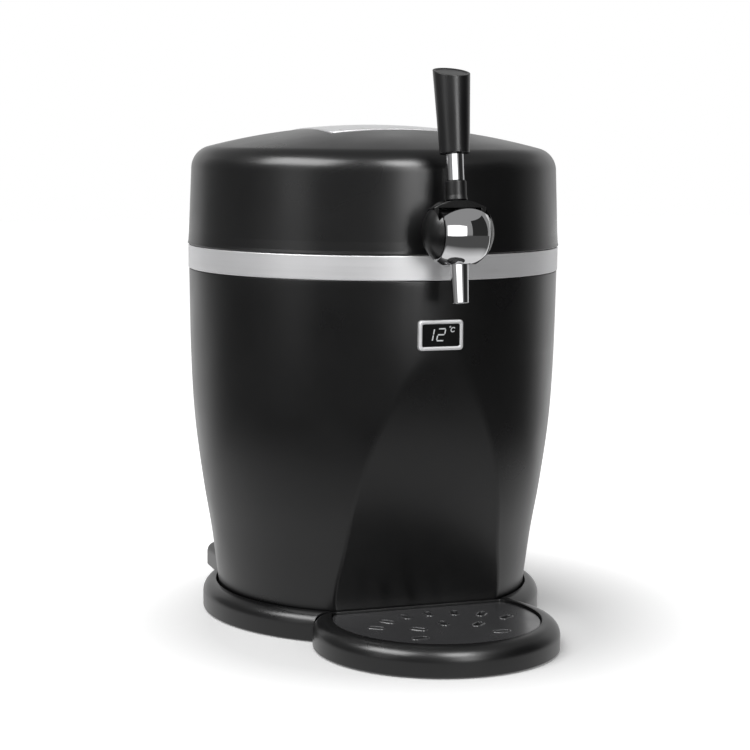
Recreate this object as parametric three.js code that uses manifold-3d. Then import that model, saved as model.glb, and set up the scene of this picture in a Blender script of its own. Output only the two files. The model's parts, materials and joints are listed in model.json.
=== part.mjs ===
// A countertop dispenser that chills a five-litre keg and pours it through a lever tap.
// Millimetres, +Z up. The tap faces -Y, and the origin is on the table under the body's axis.
import * as THREE from "three";
import { mergeVertices } from "three/addons/utils/BufferGeometryUtils.js";
import Module from "manifold-3d";

const wasm = await Module();
wasm.setup();

// Facet counts
const ROUND_SIDES = 48;
const BALL_SIDES = 32;
const SMALL_SIDES = 20;
const PIN_SIDES = 12;
const SWELL_RINGS = 7;
const RECESS_RINGS = 12;
const EDGE_STEPS = 3;
const CROWN_STEPS = 4;
const BALL_STEPS = 5;

// Gaps shared by all pieces
const TOUCH_GAP = 0.3;
const SLIP_GAP = 0.7;
const OVERRUN = 8;

// Trim band: the widest ring, from which the radii of body, skirt, bay, lid and housing follow
const BAND_RADIUS = 137.5;
const BAND_HEIGHT = 17.2;
const BAND_THICKNESS = 4;

// Skirt that carries the body
const FLOOR_GAP = 0.4;
const SKIRT_SPREAD = 11.5;
const SKIRT_HEIGHT = 20.3;
const SKIRT_EDGE = 9.3;
const SKIRT_WALL = 3;
const SKIRT_GROOVE = 1.6;
const SKIRT_SEAT_DEPTH = 6.7;
const SKIRT_LEDGE_WIDTH = 24;
const BASE_PLATE_THICKNESS = 2.5;
const BASE_PLATE_RAISE = 2.6;
const FOOT_RADIUS = 10;
const FOOT_RING_INSET = 29.2;

// Body shell: its radius grows from the skirt to the band along shares of height and flare
const BODY_INSET = 0.5;
const BODY_FLARE = 21.3;
const BODY_WALL = 3;
const BODY_SWELL_SHARES = [
  [0, 0],
  [0.167, 0.234],
  [0.323, 0.523],
  [0.527, 0.813],
  [0.735, 0.944],
  [1, 1],
];

// Arched recess behind the glass: its flat face climbs outwards until it meets the body
const RECESS_APEX_DROP = 53.3;
const RECESS_FOOT_DEPTH = 17.8;
const RECESS_HALF_WIDTH = 75;
const RECESS_CLIMB_SHARES = [
  [0, 0],
  [0.041, 0.011],
  [0.115, 0.074],
  [0.19, 0.16],
  [0.456, 0.477],
  [0.673, 0.724],
  [0.834, 0.875],
  [1, 1],
];

// Lid
const LID_GAP = 0.5;
const LID_WALL = 3;
const LID_RIM_PROUD = 0.5;
const LID_RIM_HEIGHT = 2.3;
const LID_RIM_DRAW = 0.4;
const LID_LOW_DRAW = 0.9;
const LID_LOW_HEIGHT = 8.7;
const LID_HIGH_DRAW = 2.75;
const LID_SIDE_HEIGHT = 55.2;
const LID_SHOULDER = 16.8;
const LID_CROWN_RADIUS = 480;
const LINER_INSET = 20;
const LINER_CEILING_RISE = 57.7;
const LINER_WALL = 2;
const LINER_RIM_LIFT = 0.7;

// Keg bay
const BAY_INSET = 48;
const BAY_WALL = 1.2;
const BAY_FLOOR_RISE = 3.3;
const BAY_TOP_DROP = 0.3;
const RIM_PLATE = 3;
const RIM_OUTER_DROP = 24;
const RIM_INNER_DROP = 9;
const RIM_SKIRT = 2.6;
const FOAM_GAP = 0.5;
const GASKET_INSET = 12.2;
const GASKET_WIDTH = 6;
const GASKET_HEIGHT = 0.9;

// Cooling set behind the bay
const COOLER_RISE = 72;
const COLD_BLOCK_SIZE = 48;
const COLD_BLOCK_DEPTH = 12;
const PELTIER_SIZE = 40;
const PELTIER_THICKNESS = 3.8;
const SINK_MARGIN = 4;
const SINK_BASE = 3.5;
const SINK_DEPTH = 20;
const SINK_FIN = 1.6;
const SINK_FIN_COUNT = 13;
const FAN_SIZE = 80;
const FAN_THICKNESS = 17;
const FAN_WALL = 2;
const FAN_HUB = 14;
const FAN_BLADE_COUNT = 7;
const FAN_BLADE_THICKNESS = 1.6;
const FAN_BLADE_PITCH = 0.62;
const FAN_MOUNT_THICKNESS = 2.5;
const FAN_STRUT = 4;
const FAN_TIP_GAP = 1.5;

// Rear housing: a tower over the cooler, standing in a wider foot
const TOWER_HALF_WIDTH = 62;
const TOWER_SETBACK = 10;
const TOWER_RISE = 82.7;
const TOWER_TOP_DROP = 43.6;
const TOWER_CORNER = 10;
const TOWER_BEVEL = 3.5;
const HEEL_HALF_WIDTH = 95;
const HEEL_SETBACK = 14;
const HEEL_BOTTOM = 3.5;
const HEEL_TOP = 27.8;
const HEEL_CORNER = 11;
const HEEL_BEVEL = 7;
const HOUSING_WALL = 2.5;
const GRILLE_SLOT_COUNT = 9;
const GRILLE_SLOT_HEIGHT = 4;
const GRILLE_SLOT_MARGIN = 7;

// Rear controls, in a row under the grille
const CONTROL_HEIGHT = 58;
const INLET_X = -34;
const INLET_WIDTH = 24;
const INLET_HEIGHT = 16;
const INLET_DEPTH = 12;
const INLET_FLANGE = 2.2;
const INLET_FLANGE_THICKNESS = 1.6;
const INLET_LOBE = 4.4;
const INLET_PITCH = 8.6;
const INLET_PIN = 1.2;
const INLET_POCKET = 10;
const SWITCH_X = 34;
const SWITCH_WIDTH = 14;
const SWITCH_HEIGHT = 21;
const SWITCH_FLANGE = 1.6;
const SWITCH_FRAME_WALL = 1.2;
const SWITCH_DEPTH = 11;
const ROCKER_THICKNESS = 5;
const ROCKER_TILT = 0.14;
const BUTTON_RADIUS = 4.5;
const BUTTON_PITCH = 15;
const BUTTON_PROUD = 1.4;
const BUTTON_FLANGE = 1.5;
const BUTTON_FLANGE_THICKNESS = 2.4;
const BOARD_WIDTH = 100;
const BOARD_HEIGHT = 44;
const BOARD_THICKNESS = 1.6;
const BOARD_SETBACK = 17;
const BOARD_POST = 2;

// Display on the front of the body
const DISPLAY_DROP = 37.3;
const BEZEL_WIDTH = 33;
const BEZEL_HEIGHT = 21;
const BEZEL_LINE = 2.9;
const BEZEL_CORNER = 2.4;
const BEZEL_PROUD = 1.6;
const WINDOW_INSET = 0.6;
const DISPLAY_BOARD_MARGIN = 1.5;
const DISPLAY_BOARD_SINK = 1.7;

// Lid hinge at the back
const HINGE_SETBACK = 7;
const HINGE_LIFT = 2.2;
const KNUCKLE_RADIUS = 4.5;
const HINGE_HALF_WIDTH = 28;
const LEAF_HALF_WIDTH = 14;
const PIN_RADIUS = 2;
const BRACKET_DROP = 42;
const BRACKET_THICKNESS = 4;
const LEAF_RISE = 28;

// Push plate on the crown of the lid
const PLATE_HALF_WIDTH = 51.5;
const PLATE_HALF_DEPTH = 51;
const PLATE_THICKNESS = 2.5;
const PLATE_PROUD = 0.6;
const PLATE_STEM = 6.5;
const PLATE_STEM_LENGTH = 11;
const GUIDE_FLOOR_DROP = 19;
const GUIDE_WALL = 2.4;
const GUIDE_COLLAR_HEIGHT = 6;
const SPRING_RADIUS = 12.4;
const SPRING_WIRE = 0.7;
const SPRING_TURNS = 5;
const SPRING_STEPS = 8;
const SPRING_SIDES = 5;

// Tap: a split ball on a neck, leaning back
const TAP_SETBACK = 27.3;
const TAP_RISE = 16.6;
const TAP_TILT = 0.138;
const TAP_SWING = 0.62;
const TAP_SLOT_SWING = 0.663;
const BALL_RADIUS = 24.4;
const BELT_HALF_WIDTH = 16;
const BALL_FLAT = 21.8;
const CORE_RADIUS = 15.4;
const CORE_HALF_WIDTH = 14.9;
const NECK_RADIUS = 11.5;
const SHANK_RADIUS = 8;
const SHANK_BORE = 3.2;
const SHANK_TAIL = 11;
const SHANK_NUT_RADIUS = 14;
const SHANK_NUT_THICKNESS = 7;
const YOKE_HALF_WIDTH = 18.5;
const YOKE_HALF_DEPTH = 6.2;
const YOKE_TOP = 21.3;
const YOKE_SHOULDER = 16.3;
const YOKE_ARM = 3.3;
const SPINDLE_RADIUS = 5.5;
const SPINDLE_END_RADIUS = 3;
const SPINDLE_END_REACH = 20.4;
const SPINDLE_PORT = 2.4;
const SLEEVE_RADIUS = 7.1;
const SLEEVE_FOOT_RADIUS = 7.6;
const SLEEVE_LENGTH = 12.8;
const ROD_RADIUS = 5.85;
const ROD_LENGTH = 17.9;
const ROD_STUD = 3;
const ROD_STUD_REACH = 20;
const ROD_ROOT = 2.9;
const GRIP_LENGTH = 55;
const GRIP_FOOT_RADIUS = 10.15;
const GRIP_HEAD_RADIUS = 12.6;
const GRIP_SLANT = 0.37;
const GRIP_SIDES = 28;
const SPOUT_LENGTH = 47.5;
const SPOUT_TOP_RADIUS = 6.35;
const SPOUT_TIP_RADIUS = 5.4;
const SPOUT_BORE = 3.5;

// Keg coupler, gas regulator and beer line, under the lid
const COUPLER_FOOT_RISE = 11.7;
const COUPLER_FOOT_RADIUS = 21;
const COUPLER_WAIST_RADIUS = 14;
const COUPLER_HEAD_RADIUS = 17;
const COUPLER_NECK_RADIUS = 8;
const COUPLER_FOOT_HEIGHT = 6;
const COUPLER_WAIST_HEIGHT = 9;
const COUPLER_HEAD_HEIGHT = 13;
const COUPLER_BORE = 3;
const COUPLER_BORE_DEPTH = 20;
const COUPLER_CHAMFER = 2;
const SEAL_THICKNESS = 1.1;
const SEAL_WIDTH = 7;
const BARB_RADIUS = 3.4;
const BARB_REACH = 30;
const LINE_RADIUS = 4.5;
const LINE_BEND_SHARE = 0.4;
const LINE_STEPS = 14;
const LINE_SIDES = 10;
const REGULATOR_X = 40;
const REGULATOR_RADIUS = 13;
const REGULATOR_HALF_LENGTH = 14;
const KNOB_RADIUS = 11;
const KNOB_LENGTH = 14;
const KNOB_GRIP_COUNT = 8;
const KNOB_GRIP_RADIUS = 1.5;
const CARTRIDGE_RADIUS = 12.5;
const CARTRIDGE_GAP = 7.4;
const CARTRIDGE_NOSE = 5;

// Drip tray and its lift-out plate
const TRAY_RADIUS = 86.6;
const TRAY_REACH = 37.4;
const TRAY_LIFT = 0.3;
const TRAY_EDGE = 10.5;
const TRAY_GROOVE = 1.2;
const TRAY_RIM_WIDTH = 13.8;
const TRAY_PLATE_DROP = 1.7;
const TRAY_PLATE_THICKNESS = 2;
const TRAY_LEDGE = 4;
const TRAY_FLOOR = 3;
const TRAY_REAR_WALL = 2.2;
const DRIP_REACH = 42.7;
const DRIP_SLOT_LENGTH = 11;
const DRIP_SLOT_RADIUS = 2.4;
const DRIP_OUTER_RADIUS = 58.3;
const DRIP_OUTER_STEP = 0.327;
const DRIP_OUTER_COUNT = 7;
const DRIP_INNER_RADIUS = 30;
const DRIP_INNER_STEP = 0.829;
const DRIP_INNER_COUNT = 5;

// Radii, heights and places worked out from the sizes above
const BODY_TOP_RADIUS = BAND_RADIUS - BODY_INSET;
const BODY_BOTTOM_RADIUS = BODY_TOP_RADIUS - BODY_FLARE;
const SKIRT_RADIUS = BODY_BOTTOM_RADIUS + SKIRT_SPREAD;
const FOOT_RING_RADIUS = SKIRT_RADIUS - FOOT_RING_INSET;
const RECESS_FOOT_REACH = BODY_BOTTOM_RADIUS - RECESS_FOOT_DEPTH;
const BAY_RADIUS = BODY_TOP_RADIUS - BAY_INSET;
const LID_RIM_RADIUS = BAND_RADIUS + LID_RIM_PROUD;
const LID_LOW_RADIUS = LID_RIM_RADIUS - LID_LOW_DRAW;
const LID_HIGH_RADIUS = LID_RIM_RADIUS - LID_HIGH_DRAW;
const LINER_SIDE_RADIUS = LID_RIM_RADIUS - LINER_INSET;
const TOWER_REACH = BODY_TOP_RADIUS + TOWER_SETBACK;
const HEEL_REACH = TOWER_REACH - HEEL_SETBACK;
const TAP_REACH = LID_RIM_RADIUS + TAP_SETBACK;
const SHANK_REACH = LINER_SIDE_RADIUS - SHANK_TAIL;
const TRAY_SETBACK = RECESS_FOOT_REACH + TRAY_REACH;
const TRAY_PLATE_RADIUS = TRAY_RADIUS - TRAY_RIM_WIDTH;
const SINK_SIZE = FAN_SIZE - SINK_MARGIN;
const FAN_BORE = FAN_SIZE / 2 - FAN_WALL;
const DRIP_SETBACK = TRAY_SETBACK + DRIP_REACH;
const SKIRT_TOP = FLOOR_GAP + SKIRT_HEIGHT;
const SEAT_Z = SKIRT_TOP - SKIRT_SEAT_DEPTH;
const BODY_FOOT = SEAT_Z + TOUCH_GAP;
const COOLER_Z = CONTROL_HEIGHT + COOLER_RISE;
const TOWER_TOP = COOLER_Z + TOWER_RISE;
const BODY_TOP = TOWER_TOP + TOWER_TOP_DROP;
const BODY_HEIGHT = BODY_TOP - SKIRT_TOP;
const RECESS_TOP = BODY_TOP - RECESS_APEX_DROP;
const RECESS_HEIGHT = RECESS_TOP - SKIRT_TOP;
const BAND_BOTTOM = BODY_TOP + TOUCH_GAP;
const BAND_TOP = BAND_BOTTOM + BAND_HEIGHT;
const RIM_TOP = BAND_TOP - TOUCH_GAP;
const RIM_RADIUS = BAND_RADIUS - BAND_THICKNESS - TOUCH_GAP;
const GASKET_RADIUS = RIM_RADIUS - GASKET_INSET;
const LID_BOTTOM = BAND_TOP + LID_GAP;
const SHOULDER_Z = LID_BOTTOM + LID_SIDE_HEIGHT;
const SHOULDER_CENTRE = LID_HIGH_RADIUS - LID_SHOULDER;
const CROWN_LEAN = Math.asin(SHOULDER_CENTRE / (LID_CROWN_RADIUS - LID_SHOULDER));
const CROWN_CENTRE_Z = SHOULDER_Z - (LID_CROWN_RADIUS - LID_SHOULDER) * Math.cos(CROWN_LEAN);
const CROWN_TOP = CROWN_CENTRE_Z + LID_CROWN_RADIUS;
const LINER_BOTTOM = LID_BOTTOM + LINER_RIM_LIFT;
const CEILING_Z = LID_BOTTOM + LINER_CEILING_RISE;
const BAY_FLOOR = SKIRT_TOP + BAY_FLOOR_RISE;
const BAY_TOP = RIM_TOP - BAY_TOP_DROP;
const BAY_OUTER = BAY_RADIUS + BAY_WALL;
const PELTIER_Y = BAY_OUTER + TOUCH_GAP + COLD_BLOCK_DEPTH + TOUCH_GAP;
const SINK_Y = PELTIER_Y + PELTIER_THICKNESS + TOUCH_GAP;
const FAN_Y = SINK_Y + SINK_DEPTH + TOUCH_GAP;
const TOWER_BACK_WALL = TOWER_REACH - HOUSING_WALL;
const DISPLAY_Z = BODY_TOP - DISPLAY_DROP;
const HINGE_Y = LID_RIM_RADIUS + HINGE_SETBACK;
const HINGE_Z = LID_BOTTOM + HINGE_LIFT;
const TAP_Z = LID_BOTTOM + TAP_RISE;
const COUPLER_FOOT_Z = LID_BOTTOM + COUPLER_FOOT_RISE;
const COUPLER_HEAD_Z = COUPLER_FOOT_Z + COUPLER_FOOT_HEIGHT + COUPLER_WAIST_HEIGHT;
const BARB_Z = COUPLER_HEAD_Z + COUPLER_HEAD_HEIGHT / 2;
const TRAY_PLATE_TOP = SKIRT_TOP - TRAY_PLATE_DROP;
const TRAY_PLATE_BOTTOM = TRAY_PLATE_TOP - TRAY_PLATE_THICKNESS;

// Shape helpers. Every one gives a closed BufferGeometry.
function solidFrom(geometry) {
  const bare = geometry.clone();
  bare.deleteAttribute("normal");
  bare.deleteAttribute("uv");
  const merged = mergeVertices(bare);
  const corners = Array.from(merged.index.array);
  const kept = [];
  for (let i = 0; i < corners.length; i += 3) {
    const [a, b, c] = corners.slice(i, i + 3);
    if (a !== b && b !== c && c !== a) kept.push(a, b, c);
  }
  return new wasm.Manifold(
    new wasm.Mesh({
      numProp: 3,
      vertProperties: merged.attributes.position.array,
      triVerts: new Uint32Array(kept),
    }),
  );
}

function geometryFrom(solid) {
  const mesh = solid.getMesh();
  const geometry = new THREE.BufferGeometry();
  geometry.setAttribute("position", new THREE.BufferAttribute(mesh.vertProperties, 3));
  geometry.setIndex(new THREE.BufferAttribute(mesh.triVerts, 1));
  geometry.computeVertexNormals();
  return geometry;
}

function join(...geometries) {
  return geometryFrom(geometries.map(solidFrom).reduce((all, next) => all.add(next)));
}

function cut(base, ...tools) {
  return geometryFrom(tools.map(solidFrom).reduce((left, tool) => left.subtract(tool), solidFrom(base)));
}

function common(...geometries) {
  return geometryFrom(geometries.map(solidFrom).reduce((all, next) => all.intersect(next)));
}

// A profile of [radius, height] points turned about Z. It starts and ends on the axis, or is a loop.
function revolve(profile, sides = ROUND_SIDES) {
  const points = profile.map(([radius, height]) => new THREE.Vector2(radius, height));
  if (profile[0][0] !== 0) points.push(points[0].clone());
  if (THREE.ShapeUtils.area(points) < 0) points.reverse();
  return new THREE.LatheGeometry(points, sides).rotateX(Math.PI / 2);
}

// The same about X: the profile's heights become places along X.
function revolveAboutX(profile, sides) {
  return revolve(profile, sides).rotateY(Math.PI / 2);
}

function disc(radius, bottom, top, sides = ROUND_SIDES) {
  return revolve([[0, bottom], [radius, bottom], [radius, top], [0, top]], sides);
}

function ring(inner, outer, bottom, top, sides = ROUND_SIDES) {
  return revolve([[inner, bottom], [outer, bottom], [outer, top], [inner, top]], sides);
}

function rodX(radius, from, to, sides = SMALL_SIDES) {
  return disc(radius, from, to, sides).rotateY(Math.PI / 2);
}

function rodY(radius, from, to, sides = SMALL_SIDES) {
  return disc(radius, -to, -from, sides).rotateX(Math.PI / 2);
}

function block(low, high) {
  const size = high.map((value, axis) => value - low[axis]);
  const middle = high.map((value, axis) => (value + low[axis]) / 2);
  return new THREE.BoxGeometry(...size).translate(...middle);
}

function shapeOf(points) {
  return new THREE.Shape(points.map(([across, up]) => new THREE.Vector2(across, up)));
}

function extrude(shape, depth, curveSegments = PIN_SIDES) {
  return new THREE.ExtrudeGeometry(shape, { depth, bevelEnabled: false, curveSegments });
}

// A plan outline raised from one height to another.
function planPrism(shape, bottom, top, curveSegments) {
  return extrude(shape, top - bottom, curveSegments).translate(0, 0, bottom);
}

// A front outline, in X and Z, carried back from y = front to y = back.
function frontPrism(shape, front, back) {
  return extrude(shape, back - front)
    .rotateX(Math.PI / 2)
    .translate(0, back, 0);
}

// A side outline, in Y and Z, carried from x = left to x = right.
function sidePrism(shape, left, right) {
  const turn = new THREE.Matrix4().makeBasis(
    new THREE.Vector3(0, 1, 0),
    new THREE.Vector3(0, 0, 1),
    new THREE.Vector3(1, 0, 0),
  );
  return extrude(shape, right - left).applyMatrix4(turn).translate(left, 0, 0);
}

function roundedRectangle(halfWidth, halfHeight, corner, centreX = 0, centreY = 0) {
  const shape = new THREE.Shape();
  const corners = [
    [halfWidth, -halfHeight, -Math.PI / 2],
    [halfWidth, halfHeight, 0],
    [-halfWidth, halfHeight, Math.PI / 2],
    [-halfWidth, -halfHeight, Math.PI],
  ];
  for (const [x, y, from] of corners) {
    const inX = centreX + x - Math.sign(x) * corner;
    const inY = centreY + y - Math.sign(y) * corner;
    shape.absarc(inX, inY, corner, from, from + Math.PI / 2, false);
  }
  return shape;
}

// The quarter-like arc of a rounded edge, as [radius, height] points.
function edgeArc(centreRadius, centreHeight, radius, from, to, steps = EDGE_STEPS) {
  const points = [];
  for (let i = 0; i <= steps; i++) {
    const angle = from + ((to - from) * i) / steps;
    points.push([centreRadius + radius * Math.cos(angle), centreHeight + radius * Math.sin(angle)]);
  }
  return points;
}

// Body outline, from smooth curves through the pairs of shares
function curveThrough(shares) {
  const curve = new THREE.SplineCurve(shares.map(([up, out]) => new THREE.Vector2(up, out)));
  return curve.getPoints(ROUND_SIDES);
}

// The share out at a share up. Past the curve's top its last slope goes on.
function shareAt(points, up) {
  const above = points.findIndex((point) => point.x >= up);
  const next = above < 0 ? points.length - 1 : Math.max(above, 1);
  const low = points[next - 1];
  const high = points[next];
  return THREE.MathUtils.mapLinear(up, low.x, high.x, low.y, high.y);
}

const swellPoints = curveThrough(BODY_SWELL_SHARES);
const climbPoints = curveThrough(RECESS_CLIMB_SHARES);

function bodyRadius(height) {
  const up = THREE.MathUtils.clamp((height - SKIRT_TOP) / BODY_HEIGHT, 0, 1);
  return THREE.MathUtils.lerp(BODY_BOTTOM_RADIUS, BODY_TOP_RADIUS, shareAt(swellPoints, up));
}

// The body's filled form, drawn in by an inset and running past both ends by an overrun.
function bodyForm(inset, footOverrun = 0, topOverrun = 0) {
  const foot = BODY_FOOT - footOverrun;
  const top = BODY_TOP + topOverrun;
  const profile = [[0, foot], [BODY_BOTTOM_RADIUS - inset, foot]];
  for (let i = 0; i <= SWELL_RINGS; i++) {
    const height = SKIRT_TOP + (BODY_HEIGHT * i) / SWELL_RINGS;
    profile.push([bodyRadius(height) - inset, height]);
  }
  if (topOverrun > 0) profile.push([BODY_TOP_RADIUS - inset, top]);
  profile.push([0, top]);
  return revolve(profile);
}

// Distance from the axis to the recess face.
function recessReach(height) {
  const up = Math.max((height - SKIRT_TOP) / RECESS_HEIGHT, 0);
  return THREE.MathUtils.lerp(RECESS_FOOT_REACH, bodyRadius(RECESS_TOP), shareAt(climbPoints, up));
}

// Everything in front of the recess face, moved back by an inset.
function recessForm(inset) {
  const front = -(BODY_TOP_RADIUS + OVERRUN);
  const bottom = BODY_FOOT - OVERRUN;
  const top = RECESS_TOP + OVERRUN;
  const outline = [[front, top], [front, bottom], [inset - RECESS_FOOT_REACH, bottom]];
  for (let i = 0; i <= RECESS_RINGS; i++) {
    const height = SKIRT_TOP + (RECESS_HEIGHT * i) / RECESS_RINGS;
    outline.push([inset - recessReach(height), height]);
  }
  outline.push([inset - recessReach(top), top]);
  return sidePrism(shapeOf(outline), -RECESS_HALF_WIDTH, RECESS_HALF_WIDTH);
}

// The plan of the tray's seat: its circle, cut straight behind, a gap in front of the recess foot.
function trayPrism(radius, gap, bottom, top) {
  const lean = Math.asin((TRAY_SETBACK - RECESS_FOOT_REACH - gap) / radius);
  const shape = new THREE.Shape();
  shape.absarc(0, -TRAY_SETBACK, radius, Math.PI - lean, 2 * Math.PI + lean, false);
  return planPrism(shape, bottom, top, ROUND_SIDES / 2);
}

// Skirt, bottom cover and feet
function skirt() {
  const inner = SKIRT_RADIUS - SKIRT_WALL;
  const lip = BODY_BOTTOM_RADIUS + SKIRT_GROOVE;
  const ledge = lip - SKIRT_LEDGE_WIDTH;
  const edge = edgeArc(SKIRT_RADIUS - SKIRT_EDGE, SKIRT_TOP - SKIRT_EDGE, SKIRT_EDGE, 0, Math.PI / 2);
  const profile = [
    [inner, FLOOR_GAP],
    [SKIRT_RADIUS, FLOOR_GAP],
    ...edge,
    [lip, SKIRT_TOP],
    [lip, SEAT_Z],
    [ledge, SEAT_Z],
    [ledge, SEAT_Z - SKIRT_WALL],
    [inner, SEAT_Z - SKIRT_WALL],
  ];
  const notch = trayPrism(TRAY_RADIUS + SLIP_GAP, 0, -OVERRUN, SKIRT_TOP + OVERRUN);
  return cut(revolve(profile), notch);
}

function basePlate() {
  const bottom = FLOOR_GAP + BASE_PLATE_RAISE;
  const radius = SKIRT_RADIUS - SKIRT_WALL - TOUCH_GAP;
  const notch = trayPrism(TRAY_RADIUS + SKIRT_WALL, -SKIRT_WALL, -OVERRUN, SKIRT_TOP);
  return cut(disc(radius, bottom, bottom + BASE_PLATE_THICKNESS), notch);
}

function foot() {
  return disc(FOOT_RADIUS, 0, FLOOR_GAP + BASE_PLATE_RAISE - TOUCH_GAP, PIN_SIDES);
}

// Body shell, jacket and keg bay
function bodyShell() {
  const outer = cut(bodyForm(0), recessForm(0));
  const hollow = cut(bodyForm(BODY_WALL, OVERRUN, OVERRUN), recessForm(BODY_WALL));
  const half = FAN_SIZE / 2 + SLIP_GAP;
  const coolerWindow = block(
    [-half, BAY_OUTER, COOLER_Z - half],
    [half, TOWER_REACH, COOLER_Z + half],
  );
  const { halfWidth, halfHeight } = displayOpening(WINDOW_INSET / 2);
  const displayWindow = block(
    [-halfWidth, -BAND_RADIUS, DISPLAY_Z - halfHeight],
    [halfWidth, -BAY_OUTER, DISPLAY_Z + halfHeight],
  );
  return cut(outer, hollow, coolerWindow, displayWindow);
}

// The jacket fills the body round the bay and leaves room for the cooler and the display board.
function insulationJacket() {
  const skin = BODY_WALL + FOAM_GAP;
  const form = cut(bodyForm(skin), recessForm(skin));
  const bottom = BODY_FOOT + TOUCH_GAP;
  const top = RIM_TOP - RIM_OUTER_DROP - TOUCH_GAP;
  const slab = disc(BODY_TOP_RADIUS, bottom, top);
  const bay = disc(BAY_OUTER + FOAM_GAP, BAY_FLOOR - BAY_WALL - TOUCH_GAP, top + OVERRUN);
  const coldHalf = COLD_BLOCK_SIZE / 2 + FOAM_GAP;
  const coldPocket = block([-coldHalf, 0, COOLER_Z - coldHalf], [coldHalf, SINK_Y, COOLER_Z + coldHalf]);
  const sinkHalf = FAN_SIZE / 2 + SLIP_GAP;
  const sinkPocket = block(
    [-sinkHalf, PELTIER_Y - TOUCH_GAP, COOLER_Z - sinkHalf],
    [sinkHalf, TOWER_REACH, COOLER_Z + sinkHalf],
  );
  const boardHalfWidth = BEZEL_WIDTH / 2 + DISPLAY_BOARD_MARGIN + FOAM_GAP;
  const boardHalfHeight = BEZEL_HEIGHT / 2 + DISPLAY_BOARD_MARGIN + FOAM_GAP;
  const boardBack = -(BAND_RADIUS - BAY_OUTER) / 4 - (BAND_RADIUS + BAY_OUTER) / 2;
  const boardPocket = block(
    [-boardHalfWidth, -BAND_RADIUS, DISPLAY_Z - boardHalfHeight],
    [boardHalfWidth, boardBack, DISPLAY_Z + boardHalfHeight],
  );
  return cut(common(form, slab), bay, coldPocket, sinkPocket, boardPocket);
}

function bayLiner() {
  return revolve([
    [0, BAY_FLOOR - BAY_WALL],
    [BAY_OUTER, BAY_FLOOR - BAY_WALL],
    [BAY_OUTER, BAY_TOP],
    [BAY_RADIUS, BAY_TOP],
    [BAY_RADIUS, BAY_FLOOR],
    [0, BAY_FLOOR],
  ]);
}

// The rim closes the ring between the bay and the body, and carries the band and the gasket.
function bayRim() {
  const inner = BAY_OUTER + TOUCH_GAP;
  const outerFoot = BAND_BOTTOM - TOUCH_GAP;
  const tucked = BODY_TOP_RADIUS - BODY_WALL - FOAM_GAP;
  const plateBottom = RIM_TOP - RIM_PLATE;
  return revolve([
    [inner, RIM_TOP - RIM_INNER_DROP],
    [inner + RIM_SKIRT, RIM_TOP - RIM_INNER_DROP],
    [inner + RIM_SKIRT, plateBottom],
    [tucked - RIM_SKIRT, plateBottom],
    [tucked - RIM_SKIRT, RIM_TOP - RIM_OUTER_DROP],
    [tucked, RIM_TOP - RIM_OUTER_DROP],
    [tucked, outerFoot],
    [RIM_RADIUS, BAND_BOTTOM],
    [RIM_RADIUS, RIM_TOP],
    [inner, RIM_TOP],
  ]);
}

function trimBand() {
  return ring(BAND_RADIUS - BAND_THICKNESS, BAND_RADIUS, BAND_BOTTOM, BAND_TOP);
}

function rimGasket() {
  const bottom = RIM_TOP + TOUCH_GAP;
  return ring(GASKET_RADIUS, GASKET_RADIUS + GASKET_WIDTH, bottom, bottom + GASKET_HEIGHT);
}

// Thermoelectric cooler
function coldBlock() {
  const half = COLD_BLOCK_SIZE / 2;
  const back = BAY_OUTER + TOUCH_GAP + COLD_BLOCK_DEPTH;
  const slab = block([-half, BAY_RADIUS - COLD_BLOCK_DEPTH, COOLER_Z - half], [half, back, COOLER_Z + half]);
  return cut(slab, disc(BAY_OUTER + TOUCH_GAP, COOLER_Z - COLD_BLOCK_SIZE, COOLER_Z + COLD_BLOCK_SIZE));
}

function peltierModule() {
  const half = PELTIER_SIZE / 2;
  return block([-half, PELTIER_Y, COOLER_Z - half], [half, PELTIER_Y + PELTIER_THICKNESS, COOLER_Z + half]);
}

function heatSink() {
  const half = SINK_SIZE / 2;
  const pieces = [block([-half, SINK_Y, COOLER_Z - half], [half, SINK_Y + SINK_BASE, COOLER_Z + half])];
  for (let i = 0; i < SINK_FIN_COUNT; i++) {
    const x = -half + ((SINK_SIZE - SINK_FIN) * i) / (SINK_FIN_COUNT - 1);
    pieces.push(
      block([x, SINK_Y, COOLER_Z - half], [x + SINK_FIN, SINK_Y + SINK_DEPTH, COOLER_Z + half]),
    );
  }
  return join(...pieces);
}

function fanFrame() {
  const half = FAN_SIZE / 2;
  const back = FAN_Y + FAN_THICKNESS;
  const mountFront = back - FAN_MOUNT_THICKNESS;
  const frame = cut(
    block([-half, FAN_Y, -half], [half, back, half]),
    rodY(FAN_BORE, FAN_Y - OVERRUN, back + OVERRUN, ROUND_SIDES),
  );
  const pieces = [frame, rodY(FAN_HUB, mountFront, back)];
  for (const turn of [0, 1, 2]) {
    const strut = block([-FAN_STRUT / 2, mountFront, 0], [FAN_STRUT / 2, back, half - FAN_TIP_GAP]);
    pieces.push(strut.rotateY((turn * 2 * Math.PI) / 3));
  }
  return join(...pieces).translate(0, 0, COOLER_Z);
}

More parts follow.
